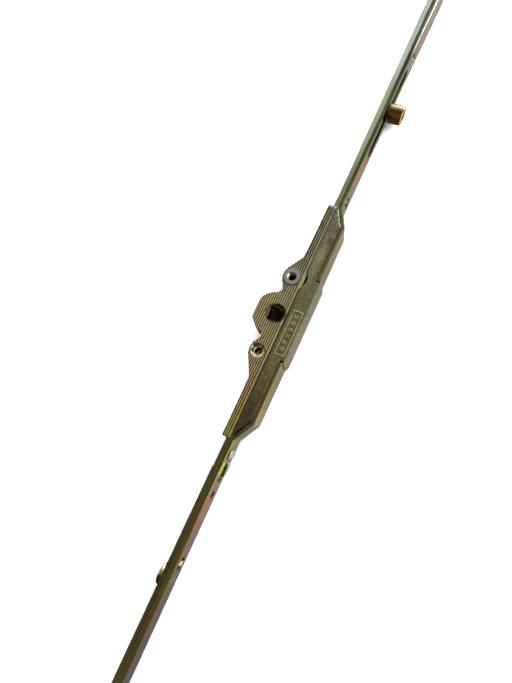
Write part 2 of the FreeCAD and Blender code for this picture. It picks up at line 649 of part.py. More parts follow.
front_side = [(-bf, -fl), (-bt, -fh), (bth, -fh), (bfh, -fl)]
bar = new_body("drive_bar")
sk = new_sketch(bar, "XY_Plane", "-dims.bar_half_width")
polygon(sk, rear_side + front_side)
pad(bar, sk, "2 * dims.bar_half_width")
st = d("stroke")
sk = new_sketch(bar, "XZ_Plane", "20")
for x in LOW_RIVETS + HIGH_RIVETS:
    circle(sk, x, 0, "rivet_radius")
pocket(bar, sk, "20")

# ------------------------------------------------------------------------- rods
rr_ = d("rod_rear")
low_rod = new_body("lower_drive_rod")
sk = new_sketch(low_rod, "XY_Plane", "-dims.rod_half_width")
polygon(sk, [(-d("rod_low_end"), -fl), (-sh - 0.05, -fl), (-sh - 0.05, -rr_), (-d("rod_low_end"), -rr_)])
pad(low_rod, sk, "2 * dims.rod_half_width")
# a recess in its front takes the bar's tongue
sk = new_sketch(low_rod, "XY_Plane", "-dims.bar_half_width - 0.05")
polygon(sk, [(-ll - 0.05, -fl - 1), (-sh + 1, -fl - 1), (-sh + 1, -lap), (-ll - 0.05, -lap)])
pocket(low_rod, sk, "2 * dims.bar_half_width + 0.1", back=True)
sk = new_sketch(low_rod, "XZ_Plane", "20")
g = d("guide_slot_radius")
slot(sk, d("guide_slot_low") + g, d("guide_slot_high") - g, g)
for x in LOW_RIVETS:
    circle(sk, x, 0, "rivet_radius")
circle(sk, d("coupling_low"), 0, "coupling_radius")
pocket(low_rod, sk, "20")

high_rod = new_body("upper_drive_rod")
sk = new_sketch(high_rod, "XY_Plane", "-dims.bar_half_width")
rs, re, rate = d("rod_set_start"), d("rod_high_end"), d("rod_set_rate")


def set_back(x):
    """How far the upper rod has drawn away from the faceplate at x."""
    return max(0.0, x - rs) * rate


polygon(sk, [(shh + 0.05, -lap), (lh + 0.05, -lap), (lh + 0.05, -fl), (rs, -fl), (re, -fl + set_back(re)),
             (re, -rr_ + set_back(re)), (rs, -rr_), (shh + 0.05, -rr_)])
pad(high_rod, sk, "2 * dims.bar_half_width")
sk = new_sketch(high_rod, "XZ_Plane", "20")
slot(sk, d("screw_mid") - st, d("screw_mid") + st, d("screw_slot_radius"))
slot(sk, d("screw_high") - st, d("screw_high") + st, d("screw_slot_radius"))
for x in HIGH_RIVETS:
    circle(sk, x, 0, "rivet_radius")
circle(sk, d("cam_at"), 0, "stud_tail")
circle(sk, d("coupling_high"), 0, "coupling_radius")
pocket(high_rod, sk, "20")


def rivets(label, places):
    """Flush rivets through the lap joint."""
    made = []
    for i, x in enumerate(places):
        c = doc.addObject("Part::Cylinder", "%s_%d" % (label, i))
        c.setExpression("Radius", "dims.rivet_radius")
        c.setExpression("Height", "dims.bar_front_low - dims.rod_rear")
        c.Placement = FreeCAD.Placement(V(x, -fl, 0), FreeCAD.Rotation(V(1, 0, 0), -90))
        made.append(c)
    g = doc.addObject("Part::MultiFuse", label)
    g.Label = label
    g.Shapes = made
    return g


low_rivets = rivets("lap_rivets_lower", LOW_RIVETS)
high_rivets = rivets("lap_rivets_upper", HIGH_RIVETS)

# ------------------------------------------------------------------ guide rivet
guide = new_body("guide_rivet")
ga, gs, gr, gh = d("guide_at"), d("guide_shank"), d("guide_head_radius"), d("guide_head_rise")
hy = -rr_ + 0.14
pts = [(0, -bs), (gs, -bs), (gs, hy), (gr, hy), (gr, hy + 0.75)]
for i in range(1, 13):
    a = math.radians(7.5 * i)
    pts.append((gr * math.cos(a) ** 0.8, hy + 0.75 + (gh - 0.75) * math.sin(a) ** 0.9))
pts[-1] = (0, hy + gh)
turned(guide, pts, at=ga)

# -------------------------------------------------------------------------- cam
ca = d("cam_at")
stud = new_body("cam_stud")
sk_head = -d("roller_tip")
seat, tail = -fl + set_back(ca) - 0.03, -rr_ + set_back(ca) + 0.03
pts = [(0, sk_head + 0.15), (d("stud_head") - 0.25, sk_head + 0.15), (d("stud_head"), sk_head + 0.4),
       (d("stud_head"), sk_head + 1.3), (d("stud_neck"), sk_head + 1.3), (d("stud_neck"), -d("washer_face") + 0.0),
       (d("stud_shank"), -d("washer_face")), (d("stud_shank"), seat), (d("stud_tail"), seat), (d("stud_tail"), tail),
       (2.7, tail), (2.5, tail + 0.35), (0, tail + 0.5)]
turned(stud, pts, at=ca)
sk = new_sketch(stud, "XZ_Plane", "dims.roller_tip")
hr = d("hex_radius")
polygon(sk, [(ca + hr * math.cos(math.radians(60 * i)), hr * math.sin(math.radians(60 * i))) for i in range(6)])
pocket(stud, sk, "dims.hex_deep + 0.15")

washer = new_body("cam_washer")
wf, wt = d("washer_face"), d("washer_thick")
turned(washer, [(d("stud_neck"), -wf), (d("washer_radius") - 0.15, -wf), (d("washer_radius"), -wf - 0.15),
                (d("washer_radius"), -wf - wt + 0.15), (d("washer_radius") - 0.15, -wf - wt), (d("stud_neck"), -wf - wt)], at=ca)

roller = new_body("cam_roller")
rb0, rt0, rR, rB, re0 = -d("roller_base"), -d("roller_tip"), d("roller_radius"), d("roller_bore"), d("roller_edge")
sr, sd = d("roller_sink_radius"), d("roller_sink")
turned(roller, [(rB, rb0), (rR - re0, rb0), (rR, rb0 - re0), (rR, rt0 + re0), (rR - re0, rt0), (sr, rt0), (sr, rt0 + sd), (rB, rt0 + sd)],
       at=ca)

# ------------------------------------------------------------- check and export
doc.recompute()
NODES = [faceplate, front_shell, back_shell, low_bush, high_bush, dowels, follower, bar, low_rod, high_rod,
         low_rivets, high_rivets, guide, stud, washer, roller]
for o in doc.Objects:
    if any(x in ("Invalid", "Error") for x in o.State):
        raise RuntimeError("failed: %s %s" % (o.Name, o.State))
for o in NODES:
    shp = o.Shape
    if shp.isNull() or not shp.isValid() or not shp.Solids:
        raise RuntimeError("bad shape: %s" % o.Label)
for o in NODES:
    o.Shape.exportStep("parts/%s.step" % o.Label)
    bb = o.Shape.BoundBox
    print("%-22s solids %d volume %9.1f  x %7.2f %7.2f  y %7.2f %7.2f  z %6.2f %6.2f" % (
        o.Label, len(o.Shape.Solids), o.Shape.Volume, bb.XMin, bb.XMax, bb.YMin, bb.YMax, bb.ZMin, bb.ZMax))
print("nodes", len(NODES))
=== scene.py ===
import bpy
from mathutils import Matrix, Vector

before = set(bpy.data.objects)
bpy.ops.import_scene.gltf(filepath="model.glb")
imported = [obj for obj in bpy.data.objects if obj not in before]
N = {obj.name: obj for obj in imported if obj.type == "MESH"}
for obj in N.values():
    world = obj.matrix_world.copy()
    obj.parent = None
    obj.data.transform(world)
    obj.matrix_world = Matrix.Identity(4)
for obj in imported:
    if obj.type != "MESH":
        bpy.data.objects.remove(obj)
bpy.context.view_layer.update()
scene = bpy.context.scene


# ---------------------------------------------------------------- camera
# From a perspective fit to the two handle screw bushes, the case and the rods.
RIGHT = Vector((0.4202, -0.8933, -0.1597))
DOWN = Vector((-0.8921, -0.3745, -0.2529))
FORWARD = Vector((0.1661, 0.2487, -0.9542))
cam_data = bpy.data.cameras.new("camera")
cam = bpy.data.objects.new("camera", cam_data)
scene.collection.objects.link(cam)
cam_data.sensor_fit = "HORIZONTAL"
cam_data.sensor_width = 36.0
cam_data.lens = 451.17 / 512.0 * 36.0
cam_data.clip_start = 0.005
cam_data.clip_end = 20.0
turn = Matrix((RIGHT, -DOWN, -FORWARD)).transposed()
cam.matrix_world = Matrix.Translation((-0.0563, -0.0548, 0.2261)) @ turn.to_4x4()
scene.camera = cam


# ---------------------------------------------------------------- node helpers
def srgb(r, g, b):
    """0..255 screen colour to linear."""
    out = []
    for v in (r, g, b):
        v = v / 255.0
        out.append(v / 12.92 if v <= 0.04045 else ((v + 0.055) / 1.055) ** 2.4)
    return (out[0], out[1], out[2], 1.0)


def lin(r, g, b):
    return (r, g, b, 1.0)


class Mat:
    """A small writer for node materials. Lengths in the object's metres."""

    def __init__(self, name):
        self.m = bpy.data.materials.new(name)
        self.m.use_nodes = True
        self.t = self.m.node_tree
        self.t.nodes.clear()
        self.out = self.t.nodes.new("ShaderNodeOutputMaterial")
        self.b = self.t.nodes.new("ShaderNodeBsdfPrincipled")
        self.t.links.new(self.b.outputs[0], self.out.inputs["Surface"])
        self.tc = self.t.nodes.new("ShaderNodeTexCoord")
        sep = self.t.nodes.new("ShaderNodeSeparateXYZ")
        self.t.links.new(self.tc.outputs["Object"], sep.inputs[0])
        self.x, self.y, self.z = sep.outputs
        sep = self.t.nodes.new("ShaderNodeSeparateXYZ")
        self.t.links.new(self.tc.outputs["Normal"], sep.inputs[0])
        self.nx, self.ny, self.nz = sep.outputs

    def put(self, sock, value):
        if isinstance(value, bpy.types.NodeSocket):
            self.t.links.new(value, sock)
        elif value is not None:
            sock.default_value = value

    def set(self, name, value):
        self.put(self.b.inputs[name], value)

    def scaled(self, sx, sy, sz, vec=None):
        n = self.t.nodes.new("ShaderNodeMapping")
        self.put(n.inputs["Vector"], vec or self.tc.outputs["Object"])
        n.inputs["Scale"].default_value = (sx, sy, sz)
        return n.outputs[0]

    def noise(self, scale, detail=4.0, rough=0.55, vec=None, distortion=0.0):
        n = self.t.nodes.new("ShaderNodeTexNoise")
        self.put(n.inputs["Vector"], vec or self.tc.outputs["Object"])
        n.inputs["Scale"].default_value = scale
        n.inputs["Detail"].default_value = detail
        n.inputs["Roughness"].default_value = rough
        n.inputs["Distortion"].default_value = distortion
        return n.outputs["Fac"]

    def voronoi(self, scale, feature="F1", vec=None):
        n = self.t.nodes.new("ShaderNodeTexVoronoi")
        n.feature = feature
        self.put(n.inputs["Vector"], vec or self.tc.outputs["Object"])
        n.inputs["Scale"].default_value = scale
        return n.outputs["Distance"]

    def math(self, op, a, b=None, c=None, clamp=False):
        n = self.t.nodes.new("ShaderNodeMath")
        n.operation = op
        n.use_clamp = clamp
        self.put(n.inputs[0], a)
        if b is not None:
            self.put(n.inputs[1], b)
        if c is not None:
            self.put(n.inputs[2], c)
        return n.outputs[0]

    def mul(self, *v):
        out = v[0]
        for k in v[1:]:
            out = self.math("MULTIPLY", out, k)
        return out

    def inv(self, v):
        return self.math("SUBTRACT", 1.0, v, clamp=True)

    def span(self, v, lo, hi, to_lo=0.0, to_hi=1.0, smooth=True):
        n = self.t.nodes.new("ShaderNodeMapRange")
        n.interpolation_type = "SMOOTHSTEP" if smooth else "LINEAR"
        n.clamp = True
        self.put(n.inputs["Value"], v)
        n.inputs["From Min"].default_value = lo
        n.inputs["From Max"].default_value = hi
        n.inputs["To Min"].default_value = to_lo
        n.inputs["To Max"].default_value = to_hi
        return n.outputs["Result"]

    def band(self, v, lo, hi, soft):
        """1 inside lo..hi, falling off over soft on both sides."""
        return self.mul(self.span(v, lo - soft, lo), self.span(v, hi, hi + soft, 1.0, 0.0))

    def ramp(self, fac, stops, mode="LINEAR"):
        n = self.t.nodes.new("ShaderNodeValToRGB")
        n.color_ramp.interpolation = mode
        e = n.color_ramp.elements
        while len(e) > 1:
            e.remove(e[-1])
        e[0].position = stops[0][0]
        e[0].color = stops[0][1]
        for p, col in stops[1:]:
            k = e.new(p)
            k.color = col
        self.put(n.inputs[0], fac)
        return n.outputs[0]

    def along(self, v, lo, hi, stops):
        """Colours placed at real positions (mm) of a coordinate in metres."""
        f = self.span(v, lo / 1000.0, hi / 1000.0, smooth=False)
        return self.ramp(f, [((p - lo) / (hi - lo), c) for p, c in stops])

    def mix(self, fac, a, b, blend="MIX"):
        n = self.t.nodes.new("ShaderNodeMix")
        n.data_type = "RGBA"
        n.blend_type = blend
        n.clamp_factor = True
        self.put(n.inputs[0], fac)
        self.put(n.inputs[6], a)
        self.put(n.inputs[7], b)
        return n.outputs[2]

    def bevel(self, radius, samples=6):
        bev = self.t.nodes.new("ShaderNodeBevel")
        bev.samples = samples
        bev.inputs["Radius"].default_value = radius
        return bev.outputs[0]

    def edge(self, radius, low=0.80, high=0.985):
        """1 on sharp edges, 0 on flats, from bevelled normals."""
        geo = self.t.nodes.new("ShaderNodeNewGeometry")
        dot = self.t.nodes.new("ShaderNodeVectorMath")
        dot.operation = "DOT_PRODUCT"
        self.put(dot.inputs[0], self.bevel(radius))
        self.put(dot.inputs[1], geo.outputs["Normal"])
        return self.span(dot.outputs["Value"], low, high, 1.0, 0.0)

    def crevice(self, distance, samples=6):
        """0 deep in corners, 1 in the open."""
        n = self.t.nodes.new("ShaderNodeAmbientOcclusion")
        n.samples = samples
        n.inputs["Distance"].default_value = distance
        return n.outputs["AO"]

    def bump(self, height, strength, distance, normal=None):
        n = self.t.nodes.new("ShaderNodeBump")
        n.inputs["Strength"].default_value = strength
        n.inputs["Distance"].default_value = distance
        self.put(n.inputs["Height"], height)
        if normal is not None:
            self.put(n.inputs["Normal"], normal)
        return n.outputs[0]


def dress(node, *mats):
    o = N[node]
    o.data.materials.clear()
    for m in mats:
        o.data.materials.append(m)


# ---------------------------------------------------------------- faceplate
def at_hole(m, x_mm):
    """Local x and distance from a hole's axis on the faceplate, in millimetres."""
    dx = m.math("MULTIPLY_ADD", m.x, 1000.0, -x_mm)
    dz = m.math("MULTIPLY", m.z, 1000.0)
    return dx, m.math("SQRT", m.math("ADD", m.mul(dx, dx), m.mul(dz, dz)))


def faceplate_material():
    m = Mat("plated_steel_strip")
    # iridescent film on the outer face, changing along the strip
    wob = m.mul(m.math("SUBTRACT", m.noise(40.0, 3.0), 0.5), 0.012)
    xf = m.math("ADD", m.x, wob)
    face = m.along(xf, -210, 230, [
        (-200, srgb(104, 80, 98)), (-165, srgb(118, 90, 104)), (-150, srgb(136, 104, 112)), (-131, srgb(130, 134, 118)),
        (-112, srgb(188, 132, 132)), (-97, srgb(192, 140, 126)), (-84, srgb(162, 158, 122)), (-70, srgb(164, 168, 112)),
        (-66, srgb(174, 160, 112)), (-62, srgb(140, 154, 116)), (-57.5, srgb(136, 146, 128)), (-55, srgb(212, 178, 148)), (-42, srgb(164, 150, 120)), (30, srgb(146, 138, 110)),
        (54, srgb(200, 170, 148)), (58, srgb(160, 152, 134)), (60.5, srgb(80, 77, 56)), (66, srgb(76, 77, 60)), (71, srgb(178, 168, 154)), (79, srgb(144, 148, 132)),
        (90, srgb(208, 160, 140)), (106, srgb(166, 138, 108)), (117, srgb(120, 126, 84)), (142, srgb(124, 128, 86)),
        (166, srgb(148, 156, 142)), (178, srgb(182, 146, 132)), (200, srgb(190, 168, 144)), (228, srgb(180, 164, 140))])
    edge_top = m.along(m.x, -210, 230, [
        (-205, srgb(174, 154, 66)), (-140, srgb(190, 166, 68)), (-80, srgb(154, 144, 70)), (-66, srgb(152, 138, 76)), (-54, srgb(188, 166, 100)),
        (-30, srgb(184, 178, 108)), (20, srgb(170, 164, 106)), (36, srgb(160, 158, 108)), (55, srgb(150, 160, 106)), (75, srgb(122, 124, 74)),
        (90, srgb(92, 98, 62)), (100, srgb(94, 102, 64)), (125, srgb(98, 108, 70)), (155, srgb(58, 72, 52)), (170, srgb(57, 72, 52)),
        (188, srgb(110, 133, 109)), (228, srgb(134, 158, 142))])
    up = m.span(m.nz, 0.35, 0.85)
    down = m.span(m.nz, -0.35, -0.85)
    col = m.mix(up, face, edge_top)
    col = m.mix(down, col, srgb(120, 112, 74))
    back = m.span(m.ny, 0.3, 0.8)
    col = m.mix(back, col, srgb(156, 144, 94))
    # rolling streaks along the strip, small patches of thicker film, fine specks
    streak = m.noise(1.0, 5.0, 0.6, vec=m.scaled(40.0, 1500.0, 1500.0))
    col = m.mix(m.span(streak, 0.35, 0.72, 0.0, 0.26), col, srgb(96, 84, 60), "MULTIPLY")
    cloud = m.noise(260.0, 4.0, 0.6)
    col = m.mix(m.span(cloud, 0.52, 0.75, 0.0, 0.35), col, srgb(186, 168, 110), "OVERLAY")
    speck = m.voronoi(900.0)
    col = m.mix(m.span(speck, 0.0, 0.13, 0.45, 0.0), col, srgb(40, 34, 18))
    # the painted yellow sheen highlight above the long tab, and the pale tabs
    painted_sheen = m.mul(m.band(m.x, -0.0850, -0.0790, 0.0005), m.band(m.z, 0.0021, 0.0069, 0.0003), m.band(m.y, -0.0092, -0.0088, 0.0001))
    col = m.mix(painted_sheen, col, m.mix(m.band(m.z, 0.0040, 0.0046, 0.0002), srgb(255, 250, 132), srgb(120, 108, 40)))
    tabs = m.mul(m.band(m.x, -0.0862, -0.0716, 0.0003), m.band(m.z, -0.0080, 0.0040, 0.0003), m.span(m.y, -0.00902, -0.00912))
    # pale pearl film on the tabs, with a dark band painted as shade in the hood's opening
    tab_pearl_and_shade = m.ramp(m.span(m.z, -0.0025, 0.0020, smooth=False), [(0.0, srgb(236, 222, 220)), (0.35, srgb(208, 226, 222)), (0.45, srgb(190, 196, 150)),
                                                                (0.52, srgb(56, 48, 22)), (0.85, srgb(64, 54, 24)), (1.0, srgb(150, 130, 56))])
    tab_pearl_and_shade = m.mix(m.span(m.x, -0.0788, -0.0780), tab_pearl_and_shade, srgb(228, 232, 228))
    col = m.mix(m.mul(tabs, 0.92), col, tab_pearl_and_shade)
    # painted dark shade on the pocket walls behind the long tab
    pocket_shade = m.mul(m.band(m.x, -0.0863, -0.0793, 0.0001), m.band(m.z, -0.0057, 0.0018, 0.0001), m.span(m.y, -0.00892, -0.0088))
    col = m.mix(pocket_shade, col, srgb(14, 12, 6))
    # the bores of the two small holes painted dark as shade
    for xc, rad in ((-87.75, 1.15), (-95.6, 2.35)):
        dx, r = at_hole(m, xc)
        hole_shade = m.mul(m.span(r, rad + 0.12, rad + 0.05), m.span(m.y, -0.00899, -0.00892))
        col = m.mix(hole_shade, col, srgb(14, 12, 6))
    # a painted dark shadow of the hood round the small hole
    dz = m.math("MULTIPLY", m.z, 400.0)
    dx, r = at_hole(m, -87.75)
    hood_shadow_smear = m.span(m.math("SQRT", m.math("ADD", m.mul(dx, dx), m.mul(dz, dz))), 1.5, 1.3)
    col = m.mix(m.mul(hood_shadow_smear, m.span(m.y, -0.00895, -0.00899), 0.95), col, srgb(16, 13, 8))
    # darker and pinker along the strip's lower long edge, by amounts set along the strip
    low_edge = m.mul(m.span(m.z, -0.0047, -0.0062), m.along(m.x, -210, 230, [(-200, lin(0.7, 0.7, 0.7)), (-150, lin(0.7, 0.7, 0.7)),
                     (-140, lin(0.5, 0.5, 0.5)), (-120, lin(0.45, 0.45, 0.45)), (-100, lin(0.3, 0.3, 0.3)), (-84, lin(0.35, 0.35, 0.35)), (-72, lin(0.1, 0.1, 0.1)),
                     (-62, lin(0, 0, 0)), (78, lin(0.2, 0.2, 0.2)), (88, lin(0.5, 0.5, 0.5)), (96, lin(0.35, 0.35, 0.35)), (105, lin(0.25, 0.25, 0.25)),
                     (112, lin(0.65, 0.65, 0.65)), (128, lin(0.6, 0.6, 0.6)), (140, lin(0.2, 0.2, 0.2)), (150, lin(0.45, 0.45, 0.45)), (160, lin(0.65, 0.65, 0.65)),
                     (176, lin(0.75, 0.75, 0.75)), (184, lin(0.25, 0.25, 0.25)), (192, lin(0.1, 0.1, 0.1))]))
    col = m.mix(low_edge, col, srgb(110, 100, 108), "MULTIPLY")
    # countersinks: brown and gold film with a painted pale highlight at the centre and painted dark shade in the bore;
    # glints mark where the highlight is brightened
    glints, cones = [], []
    for xc, spot, stops in ((-130.5, (-1.1, 0.8), [(-3.7, (120, 122, 106)), (-2.0, (76, 78, 58)), (-1.2, (255, 252, 240)), (0.9, (255, 226, 206)), (1.15, (24, 18, 10)), (3.2, (14, 12, 8)), (3.7, (100, 104, 84))]),
                      (75.2, None, [(-3.7, (66, 46, 18)), (-0.3, (92, 62, 26)), (0.0, (168, 122, 70)), (0.3, (255, 244, 238)), (1.8, (255, 236, 230)), (2.3, (206, 152, 84)),
                              (3.7, (176, 152, 120))]),
                      (175.5, (0.5, 2.1), [(-3.7, (60, 50, 26)), (0.2, (84, 62, 34)), (0.6, (255, 242, 240)), (2.0, (255, 232, 228)), (2.5, (206, 156, 100)),
                               (3.7, (184, 156, 130))])):
        dx, r = at_hole(m, xc)
        inside = m.mul(m.span(r, 3.60, 3.76, 1.0, 0.0), m.span(m.ny, -0.97, -0.90))
        f = m.span(dx, -3.7, 3.7, smooth=False)
        film_and_painted_light = m.ramp(f, [((p + 3.7) / 7.4, srgb(*c)) for p, c in stops])
        col = m.mix(m.mul(inside, m.span(r, 2.15, 2.25)), col, film_and_painted_light)
        cones.append(m.mul(inside, m.span(r, 2.15, 2.25)))
        if spot:
            glints.append(m.mul(cones[-1], m.band(dx, *spot, 0.25), 0.85))
    # the cam slot's walls, and painted dark shade deep in every hole and gap
    wall = m.mul(m.inv(m.math("ABSOLUTE", m.ny)), m.band(m.z, -0.0062, 0.0062, 0.0003), m.band(m.x, 0.1000, 0.1680, 0.002))
    slot = m.along(m.x, 100, 170, [(104, srgb(86, 92, 34)), (114, srgb(82, 88, 34)), (122, srgb(44, 48, 20)), (130, srgb(20, 20, 12)),
                                   (139, srgb(84, 100, 50)), (150, srgb(110, 128, 66)), (158, srgb(96, 78, 40)), (168, srgb(90, 60, 28))])
    col = m.mix(m.span(wall, 0.5, 0.95), col, slot)
    cones = m.math("ADD", cones[0], m.math("ADD", cones[1], cones[2]))
    painted_deep_shade = m.mul(m.span(m.crevice(0.0018, 8), 0.28, 0.86, 0.94, 0.0), m.math("MULTIPLY_ADD", cones, -0.75, 1.0))
    col = m.mix(painted_deep_shade, col, srgb(16, 13, 7))
    # edges: wear with a painted highlight, yellowish along the strip and white at the high end
    e = m.edge(0.0002, 0.82, 0.985)
    much = m.along(m.x, -210, 230, [(-112, lin(0, 0, 0)), (-104, lin(0.6, 0.6, 0.6)), (-68, lin(0.85, 0.85, 0.85)), (-56, lin(0.35, 0.35, 0.35)),
                                    (56, lin(0.35, 0.35, 0.35)), (72, lin(0.1, 0.1, 0.1)), (168, lin(0.1, 0.1, 0.1)), (176, lin(0.45, 0.45, 0.45)),
                                    (228, lin(0.5, 0.5, 0.5))])
    wear_and_highlight = m.mul(e, m.span(m.noise(420.0, 4.0), 0.38, 0.62), m.span(m.nz, -0.2, 0.1))
    col = m.mix(m.mul(wear_and_highlight, much), col, m.mix(m.span(m.x, 0.168, 0.176), srgb(232, 222, 140), srgb(250, 255, 250)))
    # the rounded front rim: painted shade at the low end and from 70 to 172 mm, a painted yellow highlight from -98 to
    # -67 mm and a painted white highlight from 167 mm on
    rim = m.mul(m.span(m.nz, 0.15, 0.35), m.span(m.nz, 0.95, 0.85), m.span(m.ny, -0.15, -0.3))
    col = m.mix(m.mul(rim, m.span(m.x, -0.104, -0.116), 0.6), col, srgb(52, 42, 22))
    col = m.mix(m.mul(rim, m.span(m.x, 0.070, 0.074), m.span(m.x, 0.172, 0.166), 0.75), col, srgb(40, 40, 26))
    col = m.mix(m.mul(rim, m.band(m.x, -0.098, -0.067, 0.008), 0.2), col, srgb(244, 232, 140))
    rim_white_highlight = m.along(m.x, 100, 230, [(167, lin(0, 0, 0)), (175, lin(0.45, 0.45, 0.45)), (186, lin(0.5, 0.5, 0.5)), (192, lin(0.95, 0.95, 0.95))])
    col = m.mix(m.mul(rim, rim_white_highlight), col, srgb(250, 255, 252))
    # painted dark shade on the rear rim behind the cam
    rear_rim_shade = m.mul(m.span(m.ny, 0.05, 0.3), m.span(m.nz, 0.15, 0.35), m.span(m.x, 0.135, 0.165))
    col = m.mix(m.mul(rear_rim_shade, 0.9), col, srgb(14, 14, 10))
    # painted dark shade on the lower front rim
    low_rim_shade = m.mul(m.span(m.nz, -0.08, -0.25), m.span(m.ny, -0.15, -0.3), m.span(m.z, -0.0070, -0.0074))
    col = m.mix(m.mul(low_rim_shade, m.along(m.x, -210, 230, [(-150, lin(0.9, 0.9, 0.9)), (-105, lin(0.7, 0.7, 0.7)), (-70, lin(0.2, 0.2, 0.2)), (78, lin(0.4, 0.4, 0.4)),
                (92, lin(0.7, 0.7, 0.7)), (176, lin(0.8, 0.8, 0.8)), (186, lin(0.3, 0.3, 0.3))])), col, srgb(34, 28, 26))
    # painted dark shade on the rim from 55 to 67.5 mm
    col = m.mix(m.mul(m.span(m.nz, 0.1, 0.3), m.span(m.ny, -0.05, -0.15), m.band(m.x, 0.0550, 0.0675, 0.001), 0.85), col, srgb(52, 54, 30))
    m.set("Base Color", col)
    # glints and the painted sheen lower the metallic so these painted highlights come out brighter
    m.set("Metallic", m.inv(m.math("MAXIMUM", m.math("ADD", glints[0], glints[1]), m.mul(painted_sheen, 0.2))))
    m.b.inputs["Specular Tint"].default_value = (0.62, 0.58, 0.5, 1.0)
    r = m.span(m.noise(240.0, 4.0), 0.3, 0.7, 0.22, 0.34)
    m.set("Roughness", r)
    nrm = m.bump(streak, 0.22, 0.00005, m.bevel(0.00012))
    m.set("Normal", m.bump(m.noise(2600.0, 2.0), 0.12, 0.00003, nrm))
    return m.m


# ---------------------------------------------------------------- rods
def rod_material(name, stops, end_tint):
    m = Mat(name)
    top = m.along(m.x, -210, 230, stops)
    side = m.mix(0.35, top, end_tint)
    col = m.mix(m.span(m.nz, 0.4, 0.8), side, top)
    streak = m.noise(1.0, 5.0, 0.6, vec=m.scaled(30.0, 1300.0, 1300.0))
    col = m.mix(m.span(streak, 0.38, 0.7, 0.0, 0.35), col, srgb(96, 88, 58), "MULTIPLY")
    cloud = m.noise(90.0, 3.0, 0.6)
    col = m.mix(m.span(cloud, 0.5, 0.75, 0.0, 0.3), col, srgb(150, 150, 100), "OVERLAY")
    e = m.edge(0.0002, 0.82, 0.985)
    col = m.mix(m.mul(e, 0.35, m.span(m.noise(500.0, 3.0), 0.35, 0.6)), col, srgb(190, 180, 132))
    # faces turned to the front painted near black as shade between the rod and the strip
    col = m.mix(m.mul(m.span(m.ny, -0.1, -0.4), 0.9), col, srgb(18, 18, 12))
    m.set("Base Color", col)
    m.set("Metallic", 1.0)
    m.b.inputs["Specular Tint"].default_value = (0.62, 0.58, 0.5, 1.0)
    m.set("Roughness", m.span(m.noise(160.0, 4.0), 0.3, 0.7, 0.26, 0.4))
    nrm = m.bump(streak, 0.2, 0.00005, m.bevel(0.00016))
    m.set("Normal", m.bump(m.noise(1800.0, 3.0), 0.12, 0.00003, nrm))
    return m.m


# ---------------------------------------------------------------- die-cast case
def rim_mask(m, x_mm, r_in, r_out):
    dx = m.math("MULTIPLY_ADD", m.x, 1000.0, -x_mm)
    dy = m.math("MULTIPLY", m.y, 1000.0)
    r = m.math("SQRT", m.math("ADD", m.mul(dx, dx), m.mul(dy, dy)))
    return m.band(r, r_in, r_out, 0.1)


